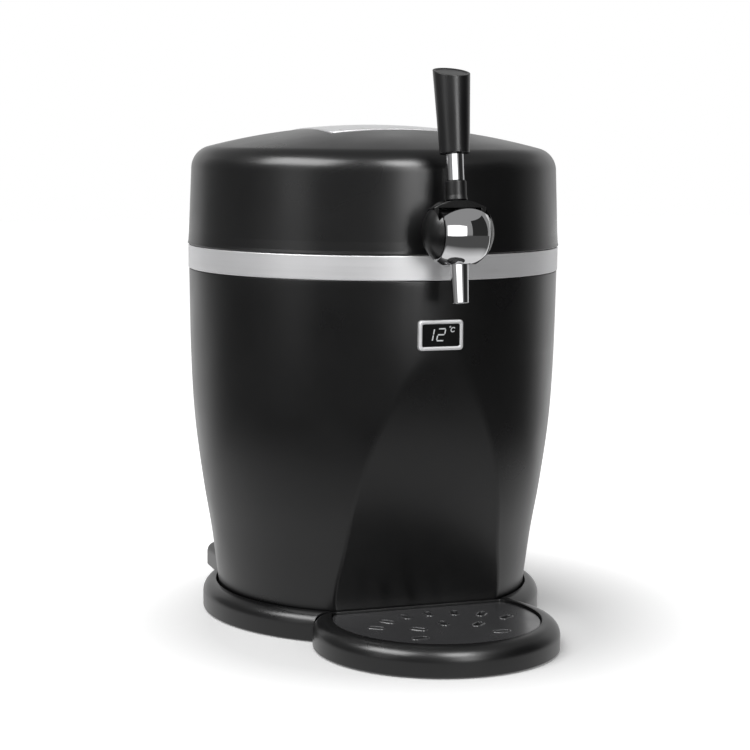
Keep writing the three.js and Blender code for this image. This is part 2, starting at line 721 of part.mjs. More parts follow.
function fanRotor() {
  const front = FAN_Y + TOUCH_GAP;
  const back = FAN_Y + FAN_THICKNESS - FAN_MOUNT_THICKNESS - TOUCH_GAP;
  const middle = (front + back) / 2;
  const halfChord = (back - front) / 2 / Math.cos(FAN_BLADE_PITCH) - FAN_BLADE_THICKNESS;
  const pieces = [rodY(FAN_HUB, front, back)];
  for (let i = 0; i < FAN_BLADE_COUNT; i++) {
    const blade = block(
      [-FAN_BLADE_THICKNESS / 2, -halfChord, FAN_HUB - FAN_STRUT],
      [FAN_BLADE_THICKNESS / 2, halfChord, FAN_BORE - FAN_TIP_GAP],
    );
    blade.rotateZ(FAN_BLADE_PITCH).translate(0, middle, 0);
    pieces.push(blade.rotateY((i * 2 * Math.PI) / FAN_BLADE_COUNT));
  }
  return join(...pieces).translate(0, 0, COOLER_Z);
}

// Rear housing and what sits in its back wall
function bevelledPrism(shape, bevel, bottom, top) {
  const geometry = new THREE.ExtrudeGeometry(shape, {
    depth: top - bottom - 2 * bevel,
    bevelEnabled: true,
    bevelThickness: bevel,
    bevelSize: bevel,
    bevelOffset: -bevel,
    bevelSegments: EDGE_STEPS,
    curveSegments: EDGE_STEPS + 1,
  });
  return geometry.translate(0, 0, bottom + bevel);
}

function housingForm(inset) {
  const tower = roundedRectangle(
    TOWER_HALF_WIDTH - inset,
    TOWER_REACH / 2 - inset / 2,
    TOWER_CORNER,
    0,
    TOWER_REACH / 2 - inset / 2,
  );
  const heel = roundedRectangle(
    HEEL_HALF_WIDTH - inset,
    HEEL_REACH / 2 - inset / 2,
    HEEL_CORNER,
    0,
    HEEL_REACH / 2 - inset / 2,
  );
  return join(
    bevelledPrism(tower, TOWER_BEVEL, HEEL_BOTTOM + inset, TOWER_TOP - inset),
    bevelledPrism(heel, HEEL_BEVEL, HEEL_BOTTOM + inset, HEEL_TOP - inset),
  );
}

function rearHousing() {
  const body = bodyForm(-TOUCH_GAP, OVERRUN, 0);
  const skirtSeat = disc(SKIRT_RADIUS + TOUCH_GAP, 0, SKIRT_TOP + TOUCH_GAP);
  const grilleHalf = FAN_SIZE / 2;
  const through = [TOWER_BACK_WALL - HOUSING_WALL, TOWER_REACH + OVERRUN];
  const grilleWindow = block(
    [-grilleHalf, through[0], COOLER_Z - grilleHalf],
    [grilleHalf, through[1], COOLER_Z + grilleHalf],
  );
  const inletHole = controlBlock(INLET_X, INLET_WIDTH, INLET_HEIGHT, TOUCH_GAP, through);
  const switchHole = controlBlock(SWITCH_X, SWITCH_WIDTH, SWITCH_HEIGHT, TOUCH_GAP, through);
  const buttonHoles = [-1, 1].map((side) =>
    rodY(BUTTON_RADIUS + TOUCH_GAP, ...through).translate((side * BUTTON_PITCH) / 2, 0, CONTROL_HEIGHT),
  );
  const shell = cut(housingForm(0), housingForm(HOUSING_WALL));
  return cut(shell, body, skirtSeat, grilleWindow, inletHole, switchHole, ...buttonHoles);
}

function controlBlock(x, width, height, gap, [front, back]) {
  return block(
    [x - width / 2 - gap, front, CONTROL_HEIGHT - height / 2 - gap],
    [x + width / 2 + gap, back, CONTROL_HEIGHT + height / 2 + gap],
  );
}

function ventGrille() {
  const half = FAN_SIZE / 2 - TOUCH_GAP;
  const front = TOWER_BACK_WALL;
  const plate = block([-half, front, COOLER_Z - half], [half, TOWER_REACH, COOLER_Z + half]);
  const slotHalf = half - GRILLE_SLOT_MARGIN;
  const pitch = (2 * slotHalf) / GRILLE_SLOT_COUNT;
  const slots = [];
  for (let i = 0; i < GRILLE_SLOT_COUNT; i++) {
    const middle = COOLER_Z - slotHalf + pitch * (i + 1 / 2);
    slots.push(
      block(
        [-slotHalf, front - OVERRUN, middle - GRILLE_SLOT_HEIGHT / 2],
        [slotHalf, TOWER_REACH + OVERRUN, middle + GRILLE_SLOT_HEIGHT / 2],
      ),
    );
  }
  return cut(plate, ...slots);
}

function powerInlet() {
  const flangeFront = TOWER_REACH + TOUCH_GAP;
  const back = flangeFront + INLET_FLANGE_THICKNESS;
  const front = TOWER_REACH - INLET_DEPTH;
  const pocketFloor = back - INLET_POCKET;
  const shell = join(
    controlBlock(INLET_X, INLET_WIDTH, INLET_HEIGHT, 0, [front, flangeFront + TOUCH_GAP]),
    controlBlock(INLET_X, INLET_WIDTH, INLET_HEIGHT, INLET_FLANGE, [flangeFront, back]),
  );
  const lobes = [-1, 1].map((side) =>
    rodY(INLET_LOBE, pocketFloor, back + OVERRUN).translate(
      INLET_X + (side * INLET_PITCH) / 2,
      0,
      CONTROL_HEIGHT,
    ),
  );
  const waist = controlBlock(INLET_X, INLET_PITCH, INLET_LOBE * 2, -TOUCH_GAP, [pocketFloor, back + OVERRUN]);
  const pins = [-1, 1].map((side) =>
    rodY(INLET_PIN, front, TOWER_REACH, PIN_SIDES).translate(
      INLET_X + (side * INLET_PITCH) / 2,
      0,
      CONTROL_HEIGHT,
    ),
  );
  return join(cut(shell, ...lobes, waist), ...pins);
}

function switchFrame() {
  const flangeFront = TOWER_REACH + TOUCH_GAP;
  const back = flangeFront + SWITCH_FLANGE;
  const front = TOWER_REACH - SWITCH_DEPTH;
  const shell = join(
    controlBlock(SWITCH_X, SWITCH_WIDTH, SWITCH_HEIGHT, 0, [front, flangeFront + TOUCH_GAP]),
    controlBlock(SWITCH_X, SWITCH_WIDTH, SWITCH_HEIGHT, SWITCH_FLANGE, [flangeFront, back]),
  );
  const pocket = controlBlock(SWITCH_X, SWITCH_WIDTH, SWITCH_HEIGHT, -SWITCH_FRAME_WALL, [
    front + SWITCH_FRAME_WALL,
    back + OVERRUN,
  ]);
  return cut(shell, pocket);
}

// The rocker rests tipped one way and swings through the frame's middle to the other.
function powerRocker() {
  const halfHeight = SWITCH_HEIGHT / 2 - SWITCH_FRAME_WALL - SLIP_GAP;
  const halfWidth = SWITCH_WIDTH / 2 - SWITCH_FRAME_WALL - TOUCH_GAP;
  const dip = halfHeight * Math.tan(ROCKER_TILT);
  const outline = shapeOf([
    [-ROCKER_THICKNESS, -halfHeight / 2],
    [0, -halfHeight],
    [ROCKER_THICKNESS / 2, -halfHeight],
    [ROCKER_THICKNESS / 2 - dip, 0],
    [ROCKER_THICKNESS / 2, halfHeight],
    [0, halfHeight],
    [-ROCKER_THICKNESS, halfHeight / 2],
  ]);
  return sidePrism(outline, -halfWidth, halfWidth).rotateX(-ROCKER_TILT);
}

function temperatureButton() {
  const face = TOWER_REACH + BUTTON_PROUD;
  const flangeBack = TOWER_BACK_WALL - TOUCH_GAP;
  return join(
    rodY(BUTTON_RADIUS, flangeBack - BUTTON_FLANGE_THICKNESS, face),
    rodY(BUTTON_RADIUS + BUTTON_FLANGE, flangeBack - BUTTON_FLANGE_THICKNESS, flangeBack),
  );
}

function controlBoard() {
  const front = TOWER_REACH - BOARD_SETBACK;
  const back = front + BOARD_THICKNESS;
  const half = BOARD_WIDTH / 2;
  const buttonRest = TOWER_BACK_WALL - TOUCH_GAP - BUTTON_FLANGE_THICKNESS;
  const pieces = [
    block(
      [-half, front, CONTROL_HEIGHT - BOARD_HEIGHT / 2],
      [half, back, CONTROL_HEIGHT + BOARD_HEIGHT / 2],
    ),
  ];
  for (const side of [-1, 1]) {
    const touch = rodY(BUTTON_RADIUS / 2, front, buttonRest - BUTTON_PROUD - TOUCH_GAP, PIN_SIDES);
    pieces.push(touch.translate((side * BUTTON_PITCH) / 2, 0, CONTROL_HEIGHT));
  }
  const postX = half - 2 * BOARD_POST;
  const postZ = BOARD_HEIGHT / 2 - 2 * BOARD_POST;
  for (const [x, z] of [[-postX, -postZ], [postX, -postZ], [-postX, postZ], [postX, postZ]]) {
    const post = rodY(BOARD_POST, front, TOWER_BACK_WALL - TOUCH_GAP, PIN_SIDES);
    pieces.push(post.translate(x, 0, CONTROL_HEIGHT + z));
  }
  return join(...pieces);
}

// Front display
function displayOpening(gap) {
  return {
    halfWidth: BEZEL_WIDTH / 2 - BEZEL_LINE + gap,
    halfHeight: BEZEL_HEIGHT / 2 - BEZEL_LINE + gap,
  };
}

function displayBezel() {
  const front = -(bodyRadius(DISPLAY_Z) + BEZEL_PROUD);
  const { halfWidth, halfHeight } = displayOpening(0);
  const outer = roundedRectangle(BEZEL_WIDTH / 2, BEZEL_HEIGHT / 2, BEZEL_CORNER, 0, DISPLAY_Z);
  const inner = roundedRectangle(halfWidth, halfHeight, BEZEL_CORNER / 2, 0, DISPLAY_Z);
  const frame = cut(
    frontPrism(outer, front, front + BEZEL_HEIGHT),
    frontPrism(inner, front - OVERRUN, 0),
  );
  return cut(frame, bodyForm(-TOUCH_GAP));
}

function displayBoardFront() {
  const half = BEZEL_WIDTH / 2 + DISPLAY_BOARD_MARGIN;
  const inner = bodyRadius(DISPLAY_Z) - BODY_WALL - FOAM_GAP;
  return -Math.sqrt(inner * inner - half * half);
}

function displayWindow() {
  const front = -(bodyRadius(DISPLAY_Z) + BEZEL_PROUD - WINDOW_INSET);
  const { halfWidth, halfHeight } = displayOpening(-TOUCH_GAP);
  const outline = roundedRectangle(halfWidth, halfHeight, BEZEL_CORNER / 2, 0, DISPLAY_Z);
  return frontPrism(outline, front, displayBoardFront() - TOUCH_GAP);
}

function displayBoard() {
  const halfWidth = BEZEL_WIDTH / 2 + DISPLAY_BOARD_MARGIN;
  const halfHeight = BEZEL_HEIGHT / 2 + DISPLAY_BOARD_MARGIN;
  const front = displayBoardFront();
  return block(
    [-halfWidth, front, DISPLAY_Z - halfHeight],
    [halfWidth, front + DISPLAY_BOARD_SINK, DISPLAY_Z + halfHeight],
  );
}

// Lid hinge
function hingeBracket() {
  const knuckleBack = HINGE_Y + KNUCKLE_RADIUS;
  const knuckleFront = HINGE_Y - KNUCKLE_RADIUS;
  const plateTop = HINGE_Z - 2 * KNUCKLE_RADIUS - SLIP_GAP;
  const plateBottom = HINGE_Z - BRACKET_DROP;
  const plateBack = BAND_RADIUS + BRACKET_THICKNESS;
  const arm = shapeOf([
    [BAY_OUTER, plateBottom],
    [plateBack, plateBottom],
    [knuckleBack, plateTop - KNUCKLE_RADIUS],
    [knuckleBack, HINGE_Z],
    [knuckleFront, HINGE_Z],
    [knuckleFront, plateTop],
    [BAY_OUTER, plateTop],
  ]);
  const inner = LEAF_HALF_WIDTH + TOUCH_GAP;
  const pieces = [
    block([-HINGE_HALF_WIDTH, BAY_OUTER, plateBottom], [HINGE_HALF_WIDTH, plateBack, plateTop]),
  ];
  for (const [left, right] of [[-HINGE_HALF_WIDTH, -inner], [inner, HINGE_HALF_WIDTH]]) {
    pieces.push(sidePrism(arm, left, right));
    pieces.push(rodX(KNUCKLE_RADIUS, left, right).translate(0, HINGE_Y, HINGE_Z));
  }
  const bore = rodX(PIN_RADIUS + TOUCH_GAP, -BAND_RADIUS, BAND_RADIUS, PIN_SIDES);
  return cut(
    join(...pieces),
    bore.translate(0, HINGE_Y, HINGE_Z),
    bodyForm(-TOUCH_GAP),
    disc(BAND_RADIUS + TOUCH_GAP, BAND_BOTTOM - TOUCH_GAP, BAND_TOP + TOUCH_GAP),
  );
}

function hingeLeaf() {
  const back = HINGE_Y + KNUCKLE_RADIUS;
  const top = HINGE_Z + LEAF_RISE;
  const plateBack = LID_RIM_RADIUS + LID_WALL / 2;
  const outline = shapeOf([
    [BAY_OUTER, HINGE_Z + KNUCKLE_RADIUS / 2],
    [HINGE_Y, HINGE_Z - KNUCKLE_RADIUS / 2],
    [back, HINGE_Z],
    [plateBack, top - KNUCKLE_RADIUS],
    [plateBack, top],
    [BAY_OUTER, top],
  ]);
  const arm = sidePrism(outline, -LEAF_HALF_WIDTH, LEAF_HALF_WIDTH);
  const knuckle = rodX(KNUCKLE_RADIUS, -LEAF_HALF_WIDTH, LEAF_HALF_WIDTH).translate(0, HINGE_Y, HINGE_Z);
  const bore = rodX(PIN_RADIUS + TOUCH_GAP, -BAND_RADIUS, BAND_RADIUS, PIN_SIDES);
  return cut(join(arm, knuckle), bore.translate(0, HINGE_Y, HINGE_Z), lidForm(-TOUCH_GAP, OVERRUN / 2));
}

function hingePin() {
  const reach = HINGE_HALF_WIDTH + PIN_RADIUS;
  return rodX(PIN_RADIUS, -reach, reach, PIN_SIDES).translate(0, HINGE_Y, HINGE_Z);
}

// Lid shell, foam and liner
function lidOutline(inset) {
  const lowZ = LID_BOTTOM + LID_LOW_HEIGHT;
  const points = [
    [LID_RIM_RADIUS - inset, LID_BOTTOM],
    [LID_RIM_RADIUS - LID_RIM_DRAW - inset, LID_BOTTOM + LID_RIM_HEIGHT],
    [LID_LOW_RADIUS - inset, lowZ],
  ];
  const shoulderEnd = Math.PI / 2 - CROWN_LEAN;
  points.push(...edgeArc(SHOULDER_CENTRE, SHOULDER_Z, LID_SHOULDER - inset, 0, shoulderEnd, CROWN_STEPS));
  const crown = edgeArc(0, CROWN_CENTRE_Z, LID_CROWN_RADIUS - inset, shoulderEnd, Math.PI / 2, CROWN_STEPS);
  points.push(...crown.slice(1, -1), [0, CROWN_TOP - inset]);
  return points;
}

function lidForm(inset, drop = 0) {
  const outline = lidOutline(inset);
  return revolve([[0, LID_BOTTOM - drop], [outline[0][0], LID_BOTTOM - drop], ...outline]);
}

function plateWindow(gap, bottom, top) {
  return block(
    [-PLATE_HALF_WIDTH - gap, -PLATE_HALF_DEPTH - gap, bottom],
    [PLATE_HALF_WIDTH + gap, PLATE_HALF_DEPTH + gap, top],
  );
}

function lidShell() {
  const shell = revolve([...lidOutline(LID_WALL).reverse(), ...lidOutline(0)]);
  const window = plateWindow(SLIP_GAP, SHOULDER_Z, CROWN_TOP + OVERRUN);
  const shankHole = rodY(SHANK_RADIUS + TOUCH_GAP, -LID_RIM_RADIUS, -SHANK_REACH).translate(0, 0, TAP_Z);
  return cut(shell, window, shankHole);
}

function lidLiner() {
  const rimRadius = LID_LOW_RADIUS - LID_WALL - TOUCH_GAP;
  const outer = LINER_SIDE_RADIUS + LINER_WALL;
  const pan = revolve([
    [0, CEILING_Z],
    [LINER_SIDE_RADIUS, CEILING_Z],
    [LINER_SIDE_RADIUS, LINER_BOTTOM],
    [rimRadius, LINER_BOTTOM],
    [rimRadius, LINER_BOTTOM + LINER_WALL],
    [outer, LINER_BOTTOM + LINER_WALL],
    [outer, CEILING_Z + LINER_WALL],
    [0, CEILING_Z + LINER_WALL],
  ]);
  const shankHole = rodY(SHANK_RADIUS + TOUCH_GAP, -LID_RIM_RADIUS, -SHANK_REACH).translate(0, 0, TAP_Z);
  return cut(pan, shankHole);
}

function lidInsulation() {
  const form = lidForm(LID_WALL + FOAM_GAP);
  const floor = LINER_BOTTOM + LINER_WALL + FOAM_GAP;
  const keep = disc(LID_RIM_RADIUS, floor, CROWN_TOP + OVERRUN);
  const liner = disc(LINER_SIDE_RADIUS + LINER_WALL + FOAM_GAP, 0, CEILING_Z + LINER_WALL + FOAM_GAP);
  const guide = plateWindow(GUIDE_WALL + FOAM_GAP, guideFloor() - FOAM_GAP, CROWN_TOP + OVERRUN);
  const shankHole = rodY(SHANK_RADIUS + FOAM_GAP, -LID_RIM_RADIUS, -SHANK_REACH).translate(0, 0, TAP_Z);
  return cut(common(form, keep), liner, guide, shankHole);
}

// Push plate, its guide and its return spring
function guideFloor() {
  return CROWN_TOP - GUIDE_FLOOR_DROP;
}

function crownSlab(outerInset, innerInset) {
  const reach = Math.asin(Math.hypot(PLATE_HALF_WIDTH, PLATE_HALF_DEPTH) / LID_CROWN_RADIUS);
  const from = Math.PI / 2 - reach * (1 + 1 / PIN_SIDES);
  const arc = (inset) => {
    const points = edgeArc(0, CROWN_CENTRE_Z, LID_CROWN_RADIUS - inset, from, Math.PI / 2, EDGE_STEPS);
    return [...points.slice(0, -1), [0, CROWN_TOP - inset]];
  };
  return revolve([...arc(innerInset).reverse(), ...arc(outerInset)], SMALL_SIDES);
}

function releasePlate() {
  const slab = common(
    crownSlab(-PLATE_PROUD, PLATE_THICKNESS - PLATE_PROUD),
    plateWindow(0, SHOULDER_Z, CROWN_TOP + OVERRUN),
  );
  const underside = CROWN_TOP + PLATE_PROUD - PLATE_THICKNESS;
  const stem = disc(PLATE_STEM, underside - PLATE_STEM_LENGTH, underside + PLATE_THICKNESS / 2, SMALL_SIDES);
  return join(slab, stem);
}

function latchGuide() {
  const floor = guideFloor();
  const form = lidForm(LID_WALL + TOUCH_GAP);
  const tub = cut(
    common(form, plateWindow(GUIDE_WALL, floor, CROWN_TOP)),
    plateWindow(SLIP_GAP, floor + GUIDE_WALL, CROWN_TOP + OVERRUN),
  );
  const bore = PLATE_STEM + TOUCH_GAP + TOUCH_GAP;
  const collar = ring(bore, bore + GUIDE_WALL, floor, floor + GUIDE_WALL + GUIDE_COLLAR_HEIGHT, SMALL_SIDES);
  return join(tub, collar);
}

// One unbroken wire, wound from the guide's floor to the plate.
function plateSpring() {
  const bottom = guideFloor() + GUIDE_WALL + SPRING_WIRE + TOUCH_GAP;
  const top = CROWN_TOP + PLATE_PROUD - PLATE_THICKNESS - SPRING_WIRE - 2 * TOUCH_GAP;
  const points = [];
  const faces = [];
  const steps = SPRING_TURNS * SPRING_STEPS;
  for (let i = 0; i <= steps; i++) {
    const turn = (2 * Math.PI * i) / SPRING_STEPS;
    const height = THREE.MathUtils.lerp(bottom, top, i / steps);
    for (let side = 0; side < SPRING_SIDES; side++) {
      const angle = (2 * Math.PI * side) / SPRING_SIDES;
      const radius = SPRING_RADIUS + SPRING_WIRE * Math.cos(angle);
      points.push(
        new THREE.Vector3(
          radius * Math.cos(turn),
          radius * Math.sin(turn),
          height + SPRING_WIRE * Math.sin(angle),
        ),
      );
    }
  }
  for (let i = 0; i < steps; i++) {
    for (let side = 0; side < SPRING_SIDES; side++) {
      const a = i * SPRING_SIDES + side;
      const b = i * SPRING_SIDES + ((side + 1) % SPRING_SIDES);
      faces.push(a, b + SPRING_SIDES, b, a, a + SPRING_SIDES, b + SPRING_SIDES);
    }
  }
  const last = steps * SPRING_SIDES;
  for (let side = 1; side + 1 < SPRING_SIDES; side++) {
    faces.push(0, side, side + 1);
    faces.push(last, last + side + 1, last + side);
  }
  console.log("plate_spring least gap to itself, mm:", leastGap(points).toFixed(3));
  return new THREE.BufferGeometry().setFromPoints(points).setIndex(faces);
}

// Least distance between points of the wire that are more than half a turn apart.
function leastGap(points) {
  const apart = (SPRING_STEPS * SPRING_SIDES) / 2;
  let least = Infinity;
  for (let i = 0; i < points.length; i++) {
    for (let j = i + apart; j < points.length; j++) {
      least = Math.min(least, points[i].distanceTo(points[j]));
    }
  }
  return least;
}

// Tap. Its pieces are made upright about the ball's centre and tilted together.
function ballSlice(left, right) {
  const middle = [];
  for (let i = 0; i <= BALL_STEPS; i++) {
    const x = THREE.MathUtils.lerp(left, right, i / BALL_STEPS);
    middle.push([Math.sqrt(Math.max(BALL_RADIUS * BALL_RADIUS - x * x, 0)), x]);
  }
  const profile = [[0, left], ...middle];
  if (right < BALL_RADIUS) profile.push([0, right]);
  return revolveAboutX(profile, BALL_SIDES);
}

function ballEnd(side) {
  const start = BELT_HALF_WIDTH + TOUCH_GAP;
  const from = Math.asin(start / BALL_RADIUS);
  const arc = edgeArc(0, 0, BALL_RADIUS, from, Math.PI / 2, BALL_STEPS).slice(0, -1);
  const end = revolveAboutX([[0, start], ...arc, [0, BALL_RADIUS]], BALL_SIDES);
  return side < 0 ? end.rotateZ(Math.PI) : end;
}

// The slot that the yoke swings in. It ends a little past the lever's limit.
function yokeSweep() {
  const half = YOKE_HALF_DEPTH + SLIP_GAP;
  const far = BALL_RADIUS + OVERRUN;
  const across = YOKE_HALF_WIDTH + TOUCH_GAP;
  const swung = (distance) => [
    -half * Math.cos(TAP_SLOT_SWING) - distance * Math.sin(TAP_SLOT_SWING),
    -half * Math.sin(TAP_SLOT_SWING) + distance * Math.cos(TAP_SLOT_SWING),
  ];
  const wedge = shapeOf([[half, 0], [half, far], swung(far), swung(0)]);
  return join(sidePrism(wedge, -across, across), rodX(half, -across, across, BALL_SIDES));
}

function shellHollow() {
  return rodX(CORE_RADIUS + TOUCH_GAP, -BALL_RADIUS, BALL_RADIUS, BALL_SIDES);
}

function frontShell() {
  const rear = YOKE_HALF_DEPTH + TOUCH_GAP;
  const keep = block([-BALL_RADIUS, -BALL_RADIUS, -BALL_FLAT], [BALL_RADIUS, rear, BALL_RADIUS]);
  const spoutHole = disc(SPOUT_TOP_RADIUS + TOUCH_GAP, -SPOUT_LENGTH, 0, SMALL_SIDES);
  return cut(
    common(ballSlice(-BELT_HALF_WIDTH, BELT_HALF_WIDTH), keep),
    yokeSweep(),
    shellHollow(),
    spoutHole,
  );
}

function rearShell() {
  const front = YOKE_HALF_DEPTH + SLIP_GAP;
  const keep = block([-BALL_RADIUS, front, -BALL_FLAT], [BALL_RADIUS, BALL_RADIUS, YOKE_TOP]);
  const neckHole = rodY(NECK_RADIUS + TOUCH_GAP, 0, BALL_RADIUS + OVERRUN).rotateX(TAP_TILT);
  return cut(common(ballSlice(-BELT_HALF_WIDTH, BELT_HALF_WIDTH), keep), shellHollow(), neckHole);
}

function sideCap(side) {
  const reach = SPINDLE_END_REACH + TOUCH_GAP;
  const seat = rodX(SPINDLE_END_RADIUS + TOUCH_GAP, -reach, reach, PIN_SIDES);
  return cut(ballEnd(side), yokeSweep(), seat);
}

function faucetCore() {
  const core = rodX(CORE_RADIUS, -CORE_HALF_WIDTH, CORE_HALF_WIDTH, BALL_SIDES);
  const plugBore = rodX(SPINDLE_RADIUS + TOUCH_GAP, -BALL_RADIUS, BALL_RADIUS);
  const inlet = rodY(SHANK_BORE, 0, BALL_RADIUS, PIN_SIDES).rotateX(TAP_TILT);
  const outlet = disc(SPOUT_BORE, -BALL_RADIUS, 0, PIN_SIDES);
  return cut(core, plugBore, inlet, outlet);
}

// The plug carries a right-angled port that lines up with inlet and outlet at full swing.
function valveSpindle() {
  const plugHalf = CORE_HALF_WIDTH - TOUCH_GAP;
  const spindle = revolveAboutX(
    [
      [0, -SPINDLE_END_REACH],
      [SPINDLE_END_RADIUS, -SPINDLE_END_REACH],
      [SPINDLE_END_RADIUS, -plugHalf],
      [SPINDLE_RADIUS, -plugHalf],
      [SPINDLE_RADIUS, plugHalf],
      [SPINDLE_END_RADIUS, plugHalf],
      [SPINDLE_END_RADIUS, SPINDLE_END_REACH],
      [0, SPINDLE_END_REACH],
    ],
    SMALL_SIDES,
  );
  const port = join(
    disc(SPINDLE_PORT, -BALL_RADIUS, 0, PIN_SIDES),
    rodY(SPINDLE_PORT, -SPINDLE_PORT, BALL_RADIUS, PIN_SIDES),
  );
  return cut(spindle, port.rotateX(-TAP_SWING));
}

function leverYoke() {
  const inner = YOKE_HALF_WIDTH - YOKE_ARM;
  const underside = CORE_RADIUS + 2 * TOUCH_GAP;
  const foot = -YOKE_HALF_DEPTH - TOUCH_GAP;
  const drop = YOKE_TOP - YOKE_SHOULDER;
  const crown = [];
  for (let i = 0; i <= CROWN_STEPS * 2; i++) {
    const share = 1 - i / CROWN_STEPS;
    crown.push([YOKE_HALF_WIDTH * share, YOKE_TOP - drop * share * share]);
  }
  const arch = shapeOf([
    ...crown,
    [-YOKE_HALF_WIDTH, foot],
    [-inner, foot],
    [-inner, underside],
    [inner, underside],
    [inner, foot],
    [YOKE_HALF_WIDTH, foot],
  ]);
  const side = new THREE.Shape();
  side.moveTo(YOKE_HALF_DEPTH, YOKE_TOP + OVERRUN);
  side.lineTo(-YOKE_HALF_DEPTH, YOKE_TOP + OVERRUN);
  side.absarc(0, 0, YOKE_HALF_DEPTH, Math.PI, 2 * Math.PI, false);
  const yoke = common(
    frontPrism(arch, -YOKE_HALF_DEPTH - OVERRUN, YOKE_HALF_DEPTH + OVERRUN),
    sidePrism(side, -YOKE_HALF_WIDTH, YOKE_HALF_WIDTH),
  );
  return cut(
    yoke,
    disc(ROD_STUD + TOUCH_GAP, 0, BALL_RADIUS, PIN_SIDES),
    rodX(SPINDLE_END_RADIUS + TOUCH_GAP, -BALL_RADIUS, BALL_RADIUS, PIN_SIDES),
  );
}

function leverSleeve() {
  const bottom = YOKE_TOP + TOUCH_GAP;
  const bore = ROD_STUD + TOUCH_GAP;
  const top = bottom + SLEEVE_LENGTH;
  return revolve(
    [
      [bore, bottom],
      [SLEEVE_FOOT_RADIUS, bottom],
      [SLEEVE_RADIUS, bottom + SLEEVE_LENGTH / 4],
      [SLEEVE_RADIUS, top],
      [bore, top],
    ],
    SMALL_SIDES,
  );
}

function rodBottom() {
  return YOKE_TOP + TOUCH_GAP + SLEEVE_LENGTH + TOUCH_GAP;
}

function leverRod() {
  const bottom = rodBottom();
  const top = bottom + ROD_LENGTH;
  return revolve(
    [
      [0, YOKE_TOP - ROD_ROOT],
      [ROD_STUD, YOKE_TOP - ROD_ROOT],
      [ROD_STUD, bottom],
      [ROD_RADIUS, bottom],
      [ROD_RADIUS, top],
      [ROD_STUD, top],
      [ROD_STUD, top + ROD_STUD_REACH],
      [0, top + ROD_STUD_REACH],
    ],
    SMALL_SIDES,
  );
}

function leverGrip() {
  const bottom = rodBottom() + ROD_LENGTH + TOUCH_GAP;
  const top = bottom + GRIP_LENGTH;
  const rise = (GRIP_HEAD_RADIUS + OVERRUN) * GRIP_SLANT;
  const slope = (GRIP_HEAD_RADIUS - GRIP_FOOT_RADIUS) / GRIP_LENGTH;
  const bore = ROD_STUD + TOUCH_GAP;
  const cone = revolve(
    [
      [0, bottom + ROD_STUD_REACH + TOUCH_GAP],
      [bore, bottom + ROD_STUD_REACH + TOUCH_GAP],
      [bore, bottom],
      [GRIP_FOOT_RADIUS, bottom],
      [GRIP_HEAD_RADIUS + slope * rise, top + rise],
      [0, top + rise],
    ],
    GRIP_SIDES,
  );
  const reach = GRIP_HEAD_RADIUS + OVERRUN;
  const above = sidePrism(
    shapeOf([[-reach, top - rise], [reach, top + rise], [reach, top + 2 * rise], [-reach, top + 2 * rise]]),
    -reach,
    reach,
  );
  return cut(cone, above);
}

function spout() {
  const top = -(CORE_RADIUS + TOUCH_GAP);
  return revolve(
    [
      [SPOUT_BORE, -SPOUT_LENGTH],
      [SPOUT_TIP_RADIUS, -SPOUT_LENGTH],
      [SPOUT_TOP_RADIUS, -BALL_FLAT],
      [SPOUT_TOP_RADIUS, top],
      [SPOUT_BORE, top],
    ],
    SMALL_SIDES,
  );
}

// The shank carries the tap through the lid wall. Its neck fills the gap between ball and lid.
function faucetShank() {
  const neck = rodY(NECK_RADIUS, -TAP_REACH, -SHANK_REACH).translate(0, 0, TAP_Z);
  const shank = rodY(SHANK_RADIUS, -TAP_REACH, -SHANK_REACH).translate(0, 0, TAP_Z);
  const bore = rodY(SHANK_BORE, -TAP_REACH, 0, PIN_SIDES).translate(0, 0, TAP_Z);
  const hollow = shellHollow().translate(0, -TAP_REACH, TAP_Z);
  return cut(join(cut(neck, lidForm(-TOUCH_GAP)), shank), bore, hollow);
}

function shankNut() {
  const reach = LINER_SIDE_RADIUS;
  const flat = SHANK_NUT_RADIUS * Math.cos(Math.PI / 6);
  const seat = -Math.sqrt(reach * reach - SHANK_NUT_RADIUS * SHANK_NUT_RADIUS) + TOUCH_GAP;
  const hexagon = rodY(flat / Math.cos(Math.PI / 6), seat, seat + SHANK_NUT_THICKNESS, 6);
  return cut(hexagon, rodY(SHANK_RADIUS + TOUCH_GAP, -TAP_REACH, 0)).translate(0, 0, TAP_Z);
}

// Keg coupler with its outlet and gas barbs
function kegCoupler() {
  const waistZ = COUPLER_FOOT_Z + COUPLER_FOOT_HEIGHT;
  const headTop = COUPLER_HEAD_Z + COUPLER_HEAD_HEIGHT;
  const boreTop = COUPLER_FOOT_Z + COUPLER_BORE_DEPTH;
  const turned = revolve(
    [
      [0, boreTop],
      [COUPLER_BORE, boreTop],
      [COUPLER_BORE, COUPLER_FOOT_Z],
      [COUPLER_FOOT_RADIUS, COUPLER_FOOT_Z],
      [COUPLER_FOOT_RADIUS, waistZ],
      [COUPLER_WAIST_RADIUS, waistZ + COUPLER_CHAMFER],
      [COUPLER_WAIST_RADIUS, COUPLER_HEAD_Z],
      [COUPLER_HEAD_RADIUS, COUPLER_HEAD_Z + COUPLER_CHAMFER / 2],
      [COUPLER_HEAD_RADIUS, headTop],
      [COUPLER_NECK_RADIUS, headTop + COUPLER_CHAMFER],
      [COUPLER_NECK_RADIUS, CEILING_Z - TOUCH_GAP],
      [0, CEILING_Z - TOUCH_GAP],
    ],
    SMALL_SIDES,
  );
  const outlet = rodY(BARB_RADIUS, -BARB_REACH, 0, PIN_SIDES).translate(0, 0, BARB_Z);
  const gasEnd = REGULATOR_X - REGULATOR_RADIUS - TOUCH_GAP;
  const gas = rodX(BARB_RADIUS, 0, gasEnd, PIN_SIDES).translate(0, 0, BARB_Z);
  return join(turned, outlet, gas);
}

